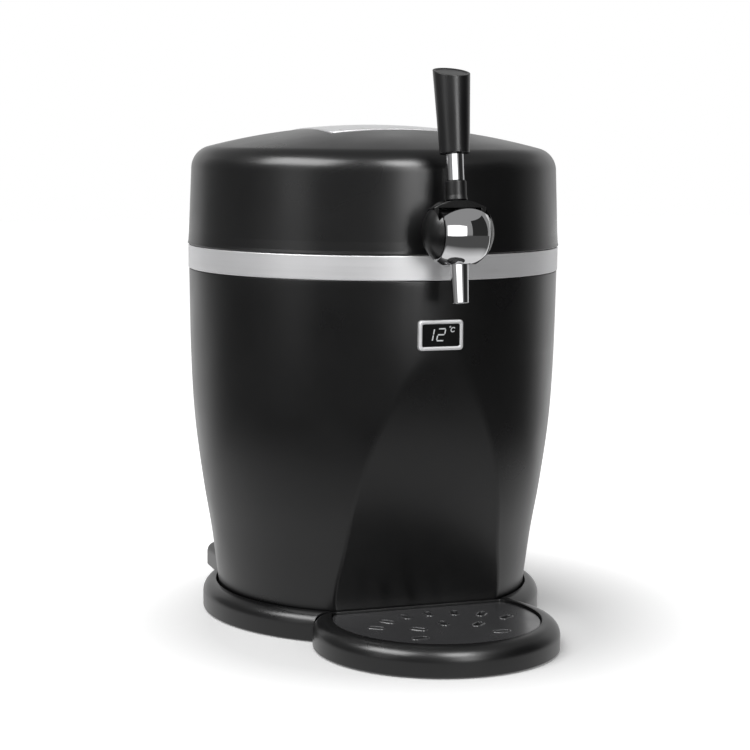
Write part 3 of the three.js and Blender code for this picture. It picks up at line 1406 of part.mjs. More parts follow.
function couplerSeal() {
  const top = COUPLER_FOOT_Z - TOUCH_GAP;
  const outer = COUPLER_FOOT_RADIUS - COUPLER_CHAMFER;
  return ring(outer - SEAL_WIDTH, outer, top - SEAL_THICKNESS, top, SMALL_SIDES);
}

function beerLine() {
  const from = new THREE.Vector3(0, -(BARB_REACH + TOUCH_GAP), BARB_Z);
  const to = new THREE.Vector3(0, -(SHANK_REACH - TOUCH_GAP), TAP_Z);
  const run = (from.y - to.y) * LINE_BEND_SHARE;
  const path = new THREE.CubicBezierCurve3(
    from,
    new THREE.Vector3(0, from.y - run, from.z),
    new THREE.Vector3(0, to.y + run, to.z),
    to,
  );
  const section = new THREE.Shape();
  for (let i = 0; i < LINE_SIDES; i++) {
    const angle = (2 * Math.PI * i) / LINE_SIDES;
    const point = [LINE_RADIUS * Math.cos(angle), LINE_RADIUS * Math.sin(angle)];
    if (i === 0) section.moveTo(...point);
    else section.lineTo(...point);
  }
  return new THREE.ExtrudeGeometry(section, { steps: LINE_STEPS, extrudePath: path });
}

function gasRegulator() {
  return rodY(REGULATOR_RADIUS, -REGULATOR_HALF_LENGTH, REGULATOR_HALF_LENGTH).translate(
    REGULATOR_X,
    0,
    BARB_Z,
  );
}

function pressureKnob() {
  const back = -(REGULATOR_HALF_LENGTH + TOUCH_GAP);
  const front = back - KNOB_LENGTH;
  const grooves = [];
  for (let i = 0; i < KNOB_GRIP_COUNT; i++) {
    const angle = (2 * Math.PI * i) / KNOB_GRIP_COUNT;
    const groove = rodY(KNOB_GRIP_RADIUS, front - OVERRUN, back - KNOB_GRIP_RADIUS, PIN_SIDES / 2);
    grooves.push(groove.translate(KNOB_RADIUS * Math.cos(angle), 0, KNOB_RADIUS * Math.sin(angle)));
  }
  return cut(rodY(KNOB_RADIUS, front, back), ...grooves).translate(REGULATOR_X, 0, BARB_Z);
}

function cartridgeSleeve() {
  const start = REGULATOR_HALF_LENGTH + TOUCH_GAP;
  const side = REGULATOR_X + CARTRIDGE_RADIUS;
  const end = Math.sqrt(LINER_SIDE_RADIUS * LINER_SIDE_RADIUS - side * side) - CARTRIDGE_GAP;
  const profile = [
    [0, -end],
    [CARTRIDGE_RADIUS - CARTRIDGE_NOSE, -end],
    [CARTRIDGE_RADIUS, -end + CARTRIDGE_NOSE],
    [CARTRIDGE_RADIUS, -start],
    [0, -start],
  ];
  return revolve(profile, SMALL_SIDES).rotateX(Math.PI / 2).translate(REGULATOR_X, 0, BARB_Z);
}

// Drip tray
function dripTray() {
  const edge = edgeArc(TRAY_RADIUS - TRAY_EDGE, SKIRT_TOP - TRAY_EDGE, TRAY_EDGE, 0, Math.PI / 2);
  const seatRadius = TRAY_PLATE_RADIUS + SLIP_GAP;
  const seatRear = TRAY_GROOVE + TRAY_REAR_WALL;
  const above = SKIRT_TOP + OVERRUN;
  const round = revolve([
    [0, TRAY_LIFT],
    [TRAY_RADIUS, TRAY_LIFT],
    ...edge,
    [0, SKIRT_TOP],
  ]).translate(0, -TRAY_SETBACK, 0);
  const plan = trayPrism(TRAY_RADIUS + OVERRUN, TRAY_GROOVE, 0, above);
  const seat = trayPrism(seatRadius, seatRear, TRAY_PLATE_BOTTOM - TOUCH_GAP, above);
  const basin = trayPrism(seatRadius - TRAY_LEDGE, seatRear + TRAY_LEDGE, TRAY_LIFT + TRAY_FLOOR, above);
  return cut(common(round, plan), seat, basin);
}

// Slots that point at the glass's place, on an arc behind it.
function dripSlots(radius, step, count) {
  const half = DRIP_SLOT_LENGTH / 2 - DRIP_SLOT_RADIUS;
  const slots = [];
  for (let i = 0; i < count; i++) {
    const outline = new THREE.Shape();
    outline.absarc(radius + half, 0, DRIP_SLOT_RADIUS, -Math.PI / 2, Math.PI / 2, false);
    outline.absarc(radius - half, 0, DRIP_SLOT_RADIUS, Math.PI / 2, (3 * Math.PI) / 2, false);
    const slot = planPrism(outline, 0, SKIRT_TOP, EDGE_STEPS);
    slot.rotateZ(Math.PI / 2 + step * (i - (count - 1) / 2)).translate(0, -DRIP_SETBACK, 0);
    slots.push(slot);
  }
  return slots;
}

function dripPlate() {
  const rear = TRAY_GROOVE + TRAY_REAR_WALL + SLIP_GAP;
  return cut(
    trayPrism(TRAY_PLATE_RADIUS, rear, TRAY_PLATE_BOTTOM, TRAY_PLATE_TOP),
    ...dripSlots(DRIP_OUTER_RADIUS, DRIP_OUTER_STEP, DRIP_OUTER_COUNT),
    ...dripSlots(DRIP_INNER_RADIUS, DRIP_INNER_STEP, DRIP_INNER_COUNT),
  );
}

// Finishes
function finish(color, roughness, metalness = 0) {
  return new THREE.MeshStandardMaterial({ color, roughness, metalness });
}

const blackSatin = finish(0x1c1c1e, 0.45);
const blackGloss = finish(0x0c0c0d, 0.12);
const blackGrip = finish(0x151516, 0.35);
const silverSatin = finish(0xb9bbbd, 0.35, 0.8);
const chrome = finish(0xdedfe2, 0.06, 1);
const aluminium = finish(0xa9acb0, 0.4, 0.9);
const steel = finish(0x8d9196, 0.3, 1);
const rubber = finish(0x17171a, 0.85);
const foam = finish(0xd9cf9b, 0.95);
const linerPlastic = finish(0x3a3b3e, 0.6);
const ceramic = finish(0xe6e4dc, 0.7);
const circuitBoard = finish(0x1f5a34, 0.55);
const hose = finish(0xc9ced2, 0.3);
const brass = finish(0xb08d4c, 0.35, 0.9);
const dripGrey = finish(0x3b3d40, 0.18);

// Assembly: each group holds what moves together
function piece(group, name, geometry, material) {
  const mesh = new THREE.Mesh(geometry, material);
  mesh.name = name;
  group.add(mesh);
  return mesh;
}

const dispenser = new THREE.Group();

const housing = new THREE.Group();
dispenser.add(housing);
piece(housing, "base_skirt", skirt(), blackSatin);
piece(housing, "base_plate", basePlate(), blackSatin);
const footPlaces = { centre: [0, 0] };
for (const [end, ySide] of [["front", -1], ["rear", 1]]) {
  for (const [hand, xSide] of [["left", -1], ["right", 1]]) {
    const along = FOOT_RING_RADIUS * Math.SQRT1_2;
    footPlaces[end + "_" + hand] = [xSide * along, ySide * along];
  }
}
for (const [place, [x, y]] of Object.entries(footPlaces)) {
  piece(housing, "foot_" + place, foot(), rubber).position.set(x, y, 0);
}
piece(housing, "body_shell", bodyShell(), blackSatin);
piece(housing, "trim_band", trimBand(), silverSatin);
piece(housing, "bay_liner", bayLiner(), aluminium);
piece(housing, "insulation_jacket", insulationJacket(), foam);
piece(housing, "bay_rim", bayRim(), linerPlastic);
piece(housing, "rim_gasket", rimGasket(), rubber);
piece(housing, "cold_block", coldBlock(), aluminium);
piece(housing, "peltier_module", peltierModule(), ceramic);
piece(housing, "heat_sink", heatSink(), aluminium);
piece(housing, "fan_frame", fanFrame(), blackSatin);
piece(housing, "rear_housing", rearHousing(), blackSatin);
piece(housing, "vent_grille", ventGrille(), blackSatin);
piece(housing, "power_inlet", powerInlet(), blackSatin);
piece(housing, "switch_frame", switchFrame(), blackSatin);
piece(housing, "control_board", controlBoard(), circuitBoard);
piece(housing, "display_bezel", displayBezel(), silverSatin);
piece(housing, "display_window", displayWindow(), blackGloss);
piece(housing, "display_board", displayBoard(), circuitBoard);
piece(housing, "hinge_bracket", hingeBracket(), blackSatin);
piece(housing, "hinge_pin", hingePin(), steel);
piece(housing, "fan_rotor", fanRotor(), blackSatin);
piece(housing, "power_rocker", powerRocker(), blackGloss).position.set(
  SWITCH_X,
  TOWER_REACH,
  CONTROL_HEIGHT,
);
for (const [hand, side] of [["down", -1], ["up", 1]]) {
  const button = piece(housing, "temperature_" + hand + "_button", temperatureButton(), blackGloss);
  button.position.set((side * BUTTON_PITCH) / 2, 0, CONTROL_HEIGHT);
}

const lid = new THREE.Group();
dispenser.add(lid);
piece(lid, "lid_shell", lidShell(), blackSatin);
piece(lid, "lid_insulation", lidInsulation(), foam);
piece(lid, "lid_liner", lidLiner(), linerPlastic);
piece(lid, "hinge_leaf", hingeLeaf(), blackSatin);
piece(lid, "latch_guide", latchGuide(), linerPlastic);
piece(lid, "plate_spring", plateSpring(), steel);
piece(lid, "release_plate", releasePlate(), silverSatin);
piece(lid, "keg_coupler", kegCoupler(), blackSatin);
piece(lid, "coupler_seal", couplerSeal(), rubber);
piece(lid, "beer_line", beerLine(), hose);
piece(lid, "gas_regulator", gasRegulator(), brass);
piece(lid, "pressure_knob", pressureKnob(), blackGloss);
piece(lid, "cartridge_sleeve", cartridgeSleeve(), aluminium);
piece(lid, "faucet_shank", faucetShank(), blackGloss);
piece(lid, "shank_nut", shankNut(), brass);

const tap = new THREE.Group();
tap.position.set(0, -TAP_REACH, TAP_Z);
tap.rotation.x = -TAP_TILT;
lid.add(tap);
piece(tap, "faucet_core", faucetCore(), blackGloss);
piece(tap, "faucet_front_shell", frontShell(), chrome);
piece(tap, "faucet_rear_shell", rearShell(), blackGloss);
piece(tap, "side_cap_right", sideCap(1), blackGloss);
piece(tap, "side_cap_left", sideCap(-1), blackGloss);
piece(tap, "spout", spout(), chrome);
piece(tap, "valve_spindle", valveSpindle(), steel);
piece(tap, "lever_yoke", leverYoke(), blackGloss);
piece(tap, "lever_sleeve", leverSleeve(), blackGloss);
piece(tap, "lever_rod", leverRod(), chrome);
piece(tap, "lever_grip", leverGrip(), blackGrip);

const tray = new THREE.Group();
dispenser.add(tray);
piece(tray, "drip_tray", dripTray(), blackSatin);
piece(tray, "drip_plate", dripPlate(), dripGrey);

export default dispenser;
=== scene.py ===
import json
import math
from contextlib import contextmanager

import bmesh
import bpy
from mathutils import Matrix, Vector

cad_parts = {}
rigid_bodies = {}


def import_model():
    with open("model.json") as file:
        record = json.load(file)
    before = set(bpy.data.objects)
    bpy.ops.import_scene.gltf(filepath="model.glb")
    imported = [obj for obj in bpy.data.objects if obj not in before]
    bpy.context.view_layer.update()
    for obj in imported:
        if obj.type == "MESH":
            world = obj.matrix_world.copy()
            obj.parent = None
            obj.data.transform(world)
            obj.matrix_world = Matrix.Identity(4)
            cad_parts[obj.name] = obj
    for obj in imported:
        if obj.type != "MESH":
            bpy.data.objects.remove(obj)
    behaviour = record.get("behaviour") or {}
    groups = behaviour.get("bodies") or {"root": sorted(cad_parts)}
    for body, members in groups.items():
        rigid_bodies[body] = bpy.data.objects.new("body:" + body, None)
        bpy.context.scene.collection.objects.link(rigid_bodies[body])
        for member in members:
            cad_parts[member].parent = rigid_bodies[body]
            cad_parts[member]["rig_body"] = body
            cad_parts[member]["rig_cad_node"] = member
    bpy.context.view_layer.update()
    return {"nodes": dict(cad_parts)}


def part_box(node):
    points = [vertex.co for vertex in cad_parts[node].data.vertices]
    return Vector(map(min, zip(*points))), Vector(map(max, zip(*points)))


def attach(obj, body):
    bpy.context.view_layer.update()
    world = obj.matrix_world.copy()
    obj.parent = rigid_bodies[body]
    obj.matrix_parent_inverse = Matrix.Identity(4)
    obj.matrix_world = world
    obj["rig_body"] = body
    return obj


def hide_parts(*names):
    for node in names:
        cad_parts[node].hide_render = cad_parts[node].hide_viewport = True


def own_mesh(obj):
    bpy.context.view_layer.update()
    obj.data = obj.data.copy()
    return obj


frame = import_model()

bl_info = {
    "name": "Countertop keg dispenser",
    "version": (1, 0, 0),
    "blender": (4, 5, 0),
    "location": "View3D > Sidebar > Dispenser",
    "description": "Dresses the packed keg dispenser and sets up its studio",
    "category": "Add Mesh",
}

MM = 0.001


class Span:
    """The box of a CAD node and its middle, in millimetres."""

    def __init__(self, node):
        low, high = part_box(node)
        self.left, self.front, self.bottom = low / MM
        self.right, self.back, self.top = high / MM
        self.x = (self.left + self.right) / 2
        self.y = (self.front + self.back) / 2
        self.z = (self.bottom + self.top) / 2


# Places taken from the frame, in millimetres
BODY = Span("body_shell")
SKIRT = Span("base_skirt")
BAND = Span("trim_band")
LID = Span("lid_shell")
BEZEL = Span("display_bezel")
WINDOW = Span("display_window")
TRAY = Span("drip_tray")
PLATE = Span("drip_plate")
CROWN_PLATE = Span("release_plate")
HOUSING = Span("rear_housing")
GRILLE = Span("vent_grille")

# Lengths are in millimetres and angles in radians, unless a comment says otherwise

# Steps of round forms
ROUND = 192
MIDDLE_ROUND = 96
SMALL_ROUND = 64
ARC_STEPS = 6
EASE_STEPS = 3

# How meshes are cleaned, capped and shaded, in metres
WELD = 1e-6
CAD_WELD = 1e-5
RIM_REACH = 0.2 * MM
FACET_ANGLE = math.radians(2)
SMOOTH_ANGLE = math.radians(32)

# The gap round what sits loosely, and round what sits snugly
SLIP = 0.7
TOUCH = 0.3

# How far cutters run past what they cut, on the shells and on the tap
OVERRUN = 10
BEYOND = 40

# Skirt and feet
SKIRT_EDGE = 9.3
SKIRT_WALL = 3
SKIRT_LEDGE = 24
SKIRT_SEAT = SKIRT.top - 6.7
FOOT_DISH = 0.5
FOOT_RING = 4
FOOT_DRAFT = 0.6

# Body. SWELL gives shares of its height and of its gain in radius, and CLIMB the same of the recess
BODY_FOOT_RADIUS = SKIRT.right - 11.5
BODY_TOP_RADIUS = BAND.right - 0.5
BODY_WALL = 3
BODY_EDGE = 0.6
GROOVE = 1.6
RECESS_FOOT_REACH = BODY_FOOT_RADIUS - 17.8
RECESS_TOP = BODY.top - 53.3
SWELL = [(0, 0), (0.167, 0.234), (0.323, 0.523), (0.527, 0.813), (0.735, 0.944), (1, 1)]
CLIMB = [
    (0, 0), (0.041, 0.011), (0.115, 0.074), (0.19, 0.16),
    (0.456, 0.477), (0.673, 0.724), (0.834, 0.875), (1, 1),
]
CREASE_LIMIT = 0.42
FLAT_COLUMNS = 28
CREASE_COLUMNS = 9
BACK_COLUMNS = 150
BODY_ROWS = 54
INNER_ROW_STEP = 4
ROW_GAP = 1.5
COOLER_HALF = 40
COOLER_REACH = (80, 160)

# Band
BAND_WALL = 4
BAND_EDGE = 0.8

# Display
DISPLAY_Z = BEZEL.z
OPENING_LAP = 0.8
OPENING_HALF_WIDTH = (WINDOW.right - WINDOW.left) / 2 + OPENING_LAP
OPENING_HALF_HEIGHT = (WINDOW.top - WINDOW.bottom) / 2 + OPENING_LAP
OPENING_REACH = 100
DIGIT_Z = DISPLAY_Z + 0.4
DIGIT_SLANT = 0.2
DIGIT_BAR = 0.85
DIGIT_STEP = 4.1
UPRIGHT_RISE = 2.1
ONE_X = -5.6
TWO_X = (-2.6, 2.9)
RING_X = 6.9
RING_RISE = 5.2
UNIT_X = 8.9
UNIT_RISE = 3.3

# Lid
LID_RIM = LID.right
LID_LOW = LID_RIM - 0.9
LID_HIGH = LID_RIM - 2.75
LID_WALL = 3
LID_EDGE = 0.5
LID_SIDE_STEPS = 43
CROWN_ROWS = 16
SHOULDER = 16.8
SHOULDER_Z = LID.bottom + 55.2
CROWN_RADIUS = 480
SHOULDER_CENTRE = LID_HIGH - SHOULDER
CROWN_LEAN = math.asin(SHOULDER_CENTRE / (CROWN_RADIUS - SHOULDER))
CROWN_Z = SHOULDER_Z - (CROWN_RADIUS - SHOULDER) * math.cos(CROWN_LEAN)
CROWN_TOP = CROWN_Z + CROWN_RADIUS
CROWN_PLATE_PROUD = 0.6
CROWN_PLATE_THICKNESS = 2.5
CROWN_PLATE_CORNER = 3
CROWN_PLATE_EDGE = 0.5
STEM = 6.5
STEM_LENGTH = 11

# Tap, upright about the ball's centre before it is tilted
TAP_CENTRE = (0, -(LID_RIM + 27.3), LID.bottom + 16.6)
TAP_TILT = 0.138
TAP_SLOT_SWING = 0.663
BALL = 24.4
BALL_STEPS = 40
BALL_EASE = 0.025
CAP_STEPS = 20
CAP_SEAT = 20.7
BELT_HALF = 16
BALL_FLAT = 21.8
CORE = 15.4
NECK = 11.5
NECK_START = 2
SHANK = 8
SHANK_TIP = -(LID_HIGH + 20)
SHANK_END = -107
SHANK_HOLE_REACH = (100, 160)
BORE = 3.2
YOKE_HALF = 18.5
YOKE_DEPTH = 6.2
YOKE_TOP = 21.3
YOKE_SHOULDER = 16.3
YOKE_ARM = 3.3
YOKE_STEPS = 16
SLEEVE_FOOT = 7.6
SLEEVE = 7.1
SLEEVE_BOTTOM = 21.6
SLEEVE_TOP = 34.4
ROD = 5.85
ROD_CORE = 3
ROD_FOOT = 18.4
ROD_BOTTOM = 34.7
ROD_TOP = 52.6
GRIP_BOTTOM = 52.9
GRIP_LENGTH = 55
GRIP_FOOT = 10.15
GRIP_HEAD = 12.6
GRIP_SLANT = 0.37
GRIP_SPARE = 8
GRIP_SOCKET = 20.3
SPOUT_TIP = -47.5
SPOUT_TOP = 6.35
SPOUT_END = 5.4
SPOUT_BORE = 3.5
STUD = 3.3

# Tray and its plate. DRIP_LIP gives each step outwards and up from a slot's edge, and DRIP_ROWS the
# radius, the step in radians and the number of slots of each arc
TRAY_CENTRE = -(RECESS_FOOT_REACH + 37.4)
TRAY_RADIUS = TRAY.right
TRAY_EDGE = 10.5
TRAY_REAR = TRAY.back
TRAY_CORNER = 8
RIM_STEPS = 14
SEAT_RADIUS = PLATE.right + SLIP
SEAT_REAR = TRAY_REAR - 2.2
LEDGE = 4
DRIP_CENTRE_Y = TRAY_CENTRE - 42.7
DRIP_SLOT_LENGTH = 11
DRIP_SLOT_RADIUS = 2.4
DRIP_LIP = [
    (-0.2, -1.5), (-0.2, 0.1), (0, 0.45), (0.45, 0.7),
    (0.9, 0.6), (1.25, 0.3), (1.45, -0.1), (1.45, -1.5),
]
DRIP_ROWS = [(58.3, 0.327, 7), (30, 0.829, 5)]

# Rear housing, its grille and its controls
HOUSING_WALL = 2.5
ROOM_ROWS = 24
TOWER_HALF = 62
TOWER_REACH = HOUSING.back
TOWER_TOP = HOUSING.top
TOWER_CORNER = 10
TOWER_BEVEL = 3.5
HEEL_HALF = HOUSING.right
HEEL_REACH = TOWER_REACH - 14
HEEL_BOTTOM = HOUSING.bottom
HEEL_TOP = 27.8
HEEL_CORNER = 11
HEEL_BEVEL = 7
GRILLE_MARGIN = 7
GRILLE_SLOTS = 9
GRILLE_SLOT_RADIUS = 2
FLANGE = 2.2
BUTTON_HOLE = 4.8


def point(x, y, z):
    """A place given in millimetres."""
    return Vector((x, y, z)) * MM


def mixed(low, high, share):
    return low + (high - low) * share


# Modelling helpers


def settle():
    """Leaves object mode on, with nothing selected."""
    if bpy.context.object and bpy.context.object.mode != "OBJECT":
        bpy.ops.object.mode_set(mode="OBJECT")
    bpy.ops.object.select_all(action="DESELECT")


def choose(piece):
    settle()
    piece.select_set(True)
    bpy.context.view_layer.objects.active = piece


def start(name, primitive, **options):
    """Adds a primitive as the start of a piece."""
    settle()
    primitive(**options)
    piece = bpy.context.object
    piece.name = name
    piece.data.name = name
    return piece


@contextmanager
def editing(piece):
    choose(piece)
    bpy.ops.object.mode_set(mode="EDIT")
    yield
    bpy.ops.object.mode_set(mode="OBJECT")


def pick(piece, kind, test):
    """In edit mode, selects the edges or faces that pass a test."""
    bpy.ops.mesh.select_mode(type={"edges": "EDGE", "faces": "FACE"}[kind])
    bpy.ops.mesh.select_all(action="DESELECT")
    mesh = bmesh.from_edit_mesh(piece.data)
    for element in getattr(mesh, kind):
        if test(element):
            element.select_set(True)
    mesh.select_flush_mode()
    bmesh.update_edit_mesh(piece.data)


def clean():
    """In edit mode, merges doubled points and turns all faces outwards."""
    bpy.ops.mesh.select_mode(type="VERT")
    bpy.ops.mesh.select_all(action="SELECT")
    bpy.ops.mesh.remove_doubles(threshold=WELD)
    bpy.ops.mesh.normals_make_consistent(inside=False)


def softened(corners, closed=True, steps=ARC_STEPS):
    """Outline points: each corner (x, y, radius) is rounded, and each (x, y) is left sharp.

    An open outline keeps its two ends.
    """
    outline = []
    last = len(corners) - 1
    for number, (x, y, *radius) in enumerate(corners):
        here = Vector((x, y))
        if not radius or (not closed and number in (0, last)):
            outline.append((x, y))
            continue
        before = (Vector(corners[number - 1][:2]) - here).normalized()
        after = (Vector(corners[(number + 1) % len(corners)][:2]) - here).normalized()
        half = before.angle(after) / 2
        centre = here + (before + after).normalized() * radius[0] / math.sin(half)
        reach = radius[0] / math.tan(half)
        first = here + before * reach - centre
        turn = first.angle_signed(here + after * reach - centre)
        for step in range(steps + 1):
            spoke = Matrix.Rotation(-turn * step / steps, 2) @ first
            outline.append(tuple(centre + spoke))
    return outline


def arc(centre_x, centre_y, radius, start_angle, end_angle, steps):
    """Points on an arc, with angles from the x direction."""
    angles = [mixed(start_angle, end_angle, step / steps) for step in range(steps + 1)]
    return [
        (centre_x + radius * math.cos(angle), centre_y + radius * math.sin(angle))
        for angle in angles
    ]


def turned(name, outline, steps=ROUND, closed=True):
    """Spins an outline of (radius, height) points about Z. A closed one comes back to its start."""
    piece = start(name, bpy.ops.mesh.primitive_plane_add, size=MM)
    places = [point(radius, 0, height) for radius, height in outline]
    if closed:
        places.append(places[0])
    with editing(piece):
        bpy.ops.mesh.select_all(action="SELECT")
        bpy.ops.mesh.merge(type="CENTER")
        bpy.ops.transform.translate(value=places[0])
        for here, there in zip(places, places[1:]):
            bpy.ops.mesh.extrude_vertices_move(TRANSFORM_OT_translate={"value": there - here})
        bpy.ops.mesh.select_all(action="SELECT")
        bpy.ops.mesh.spin(steps=steps, angle=2 * math.pi, center=(0, 0, 0), axis=(0, 0, 1))
        clean()
    return piece


def grown(name, rings, closed=False):
    """Extrudes a ring of edges through rings of places.

    A closed piece comes back to its first ring, and an open one is capped at both ends.
    """
    piece = start(name, bpy.ops.mesh.primitive_circle_add, vertices=len(rings[0]), radius=MM)
    with editing(piece):
        mesh = bmesh.from_edit_mesh(piece.data)
        spoke = mesh.verts.layers.int.new("spoke")
        for number, vert in enumerate(mesh.verts):
            vert[spoke] = number
            vert.co = rings[0][number]
        bmesh.update_edit_mesh(piece.data)
        for ring in rings[1:] + ([rings[0]] if closed else []):
            bpy.ops.mesh.extrude_edges_move()
            mesh = bmesh.from_edit_mesh(piece.data)
            spoke = mesh.verts.layers.int["spoke"]
            for vert in mesh.verts:
                if vert.select:
                    vert.co = ring[vert[spoke]]
            bmesh.update_edit_mesh(piece.data)
        for end in () if closed else (0, -1):
            height = sum(place.z for place in rings[end]) / len(rings[end])

            def on_rim(edge):
                middle = (edge.verts[0].co.z + edge.verts[1].co.z) / 2
                return edge.is_boundary and abs(middle - height) < RIM_REACH

            pick(piece, "edges", on_rim)
            bpy.ops.mesh.edge_face_add()
        mesh = bmesh.from_edit_mesh(piece.data)
        mesh.verts.layers.int.remove(mesh.verts.layers.int["spoke"])
        bmesh.update_edit_mesh(piece.data)
        clean()
    return piece


def grown_along_y(name, rings):
    """As grown, for rings that face the front: they are laid flat, grown and stood up again."""
    flat = [[Vector((place.x, place.z, -place.y)) for place in ring] for ring in rings]
    return placed(grown(name, flat), turn=(math.pi / 2, 0, 0))


def placed(piece, location=(0, 0, 0), turn=(0, 0, 0)):
    """Moves and turns a piece, in millimetres and radians, and leaves that in its mesh."""
    choose(piece)
    piece.location = point(*location)
    piece.rotation_euler = turn
    bpy.ops.object.transform_apply(location=True, rotation=True, scale=True)
    return piece


def copied(piece, name):
    choose(piece)
    bpy.ops.object.duplicate(linked=False)
    twin = bpy.context.object
    twin.name = name
    twin.data.name = name
    return twin


def discard(piece):
    choose(piece)
    bpy.ops.object.delete()


def combined(piece, operation, *others):
    """Applies a boolean with each other piece, and deletes those."""
    for other in others:
        choose(piece)
        modifier = piece.modifiers.new(operation, "BOOLEAN")
        modifier.operation = operation
        modifier.solver = "EXACT"
        modifier.object = other
        bpy.ops.object.modifier_apply(modifier=modifier.name)
        discard(other)
    return piece


def carved(piece, *cutters):
    return combined(piece, "DIFFERENCE", *cutters)


def fused(piece, *others):
    return combined(piece, "UNION", *others)


def eased(piece, width, angle=35, segments=EASE_STEPS):
    """Rounds the edges that are sharper than an angle in degrees."""
    choose(piece)
    modifier = piece.modifiers.new("eased", "BEVEL")
    modifier.limit_method = "ANGLE"
    modifier.angle_limit = math.radians(angle)
    modifier.width = width * MM
    modifier.segments = segments
    modifier.miter_outer = "MITER_ARC"
    modifier.use_clamp_overlap = True
    bpy.ops.object.modifier_apply(modifier=modifier.name)
    return piece


def block(name, low, high, edge=0):
    """A box between two corners, in millimetres, with its edges rounded where an edge is given."""
    middle = [mixed(a, b, 0.5) for a, b in zip(low, high)]
    piece = start(name, bpy.ops.mesh.primitive_cube_add, size=MM, location=point(*middle))
    piece.scale = [b - a for a, b in zip(low, high)]
    bpy.ops.object.transform_apply(location=True, rotation=True, scale=True)
    if edge:
        with editing(piece):
            bpy.ops.mesh.select_all(action="SELECT")
            bpy.ops.mesh.bevel(offset=edge * MM, segments=EASE_STEPS, affect="EDGES")
    return piece


def bar(name, radius, low, high, axis="Z", steps=SMALL_ROUND, edge=0):
    """A round bar along an axis through the origin, its rims rounded where an edge is given."""
    outline = [(0, low), (radius, low, edge), (radius, high, edge), (0, high)]
    if not edge:
        outline = [corner[:2] for corner in outline]
    piece = turned(name, softened(outline, closed=False, steps=EASE_STEPS), steps, closed=False)
    turn = {"X": (0, math.pi / 2, 0), "Y": (-math.pi / 2, 0, 0), "Z": (0, 0, 0)}[axis]
    return placed(piece, turn=turn)


def prism(name, outline, low, high):
    """A flat outline (x, y) raised between two heights."""
    return grown(name, [[point(x, y, height) for x, y in outline] for height in (low, high)])


def side_prism(name, outline, low, high):
    """A flat outline (y, z) raised along X."""
    piece = prism(name, outline, low, high)
    choose(piece)
    # (x, y, z) of the prism becomes (z, x, y)
    piece.data.transform(Matrix(((0, 0, 1, 0), (1, 0, 0, 0), (0, 1, 0, 0), (0, 0, 0, 1))))
    with editing(piece):
        clean()
    return piece


def onto_tap(piece):
    """Leans a tap piece back about the ball's centre and brings it to its place."""
    return placed(piece, TAP_CENTRE, (-TAP_TILT, 0, 0))


def smoothed(piece):
    """Smooth shading up to an angle, led by the larger faces so that flat ones stay flat."""
    choose(piece)
    bpy.ops.object.shade_smooth_by_angle(angle=SMOOTH_ANGLE)
    modifier = piece.modifiers.new("weighted", "WEIGHTED_NORMAL")
    modifier.keep_sharp = True
    bpy.ops.object.modifier_apply(modifier=modifier.name)


def finished(piece, body, finish, *nodes):
    """Gives a piece its shading, finish, body and the CAD nodes that it stands for."""
    smoothed(piece)
    painted(piece, finish)
    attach(piece, body)
    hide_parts(*nodes)
    return piece


def painted(piece, finish):
    piece.data.materials.clear()
    piece.data.materials.append(finish_for(finish))


def dressed(finish, *nodes):
    """Gives CAD nodes that keep their shape a better finish."""
    for node in nodes:
        painted(frame["nodes"][node], finish)


def polished(node, finish, edge):
    """A copy of a CAD node with its facets merged and its edges rounded, which stands for it."""
    source = frame["nodes"][node]
    body = source["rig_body"]
    piece = source.copy()
    piece.data = source.data.copy()
    piece.name = node + "_eased"
    piece.data.name = piece.name
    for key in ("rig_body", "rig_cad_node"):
        if key in piece:
            del piece[key]
    piece.parent = None
    bpy.context.scene.collection.objects.link(piece)
    with editing(piece):
        bpy.ops.mesh.select_all(action="SELECT")
        bpy.ops.mesh.remove_doubles(threshold=CAD_WELD)
        bpy.ops.mesh.dissolve_limited(angle_limit=FACET_ANGLE)
        bpy.ops.mesh.normals_make_consistent(inside=False)
    if edge:
        eased(piece, edge, angle=40, segments=2)
    return finished(piece, body, finish, node)


# Finishes


class Value:
    """A socket that adds its own maths nodes when it is used in a sum."""

    def __init__(self, nodes, socket):
        self.nodes = nodes
        self.socket = socket

    def __add__(self, other):
        return self.nodes.maths("ADD", self, other)

    def __radd__(self, other):
        return self.nodes.maths("ADD", other, self)

    def __mul__(self, other):
        return self.nodes.maths("MULTIPLY", self, other)

    def __rmul__(self, other):
        return self.nodes.maths("MULTIPLY", other, self)


class Nodes:
    """A node tree whose nodes are added one by one."""

    def __init__(self, tree):
        self.tree = tree

    def node(self, kind, settings=None, inputs=None, output=0):
        """Adds a node: its settings first, then the values or links of its sockets."""
        node = self.tree.nodes.new(kind)
        for key, value in (settings or {}).items():
            setattr(node, key, value)
        for key, value in (inputs or {}).items():
            if isinstance(value, Value):
                self.tree.links.new(value.socket, node.inputs[key])
            else:
                node.inputs[key].default_value = value
        return Value(self, node.outputs[output]) if node.outputs else None

    def maths(self, operation, first, second):
        return self.node("ShaderNodeMath", {"operation": operation}, {0: first, 1: second})

    def ramp(self, value, low, high, from_value, to_value):
        """Maps a value from one range to another."""
        return self.node(
            "ShaderNodeMapRange",
            {"clamp": True},
            {0: value, 1: low, 2: high, 3: from_value, 4: to_value},
        )


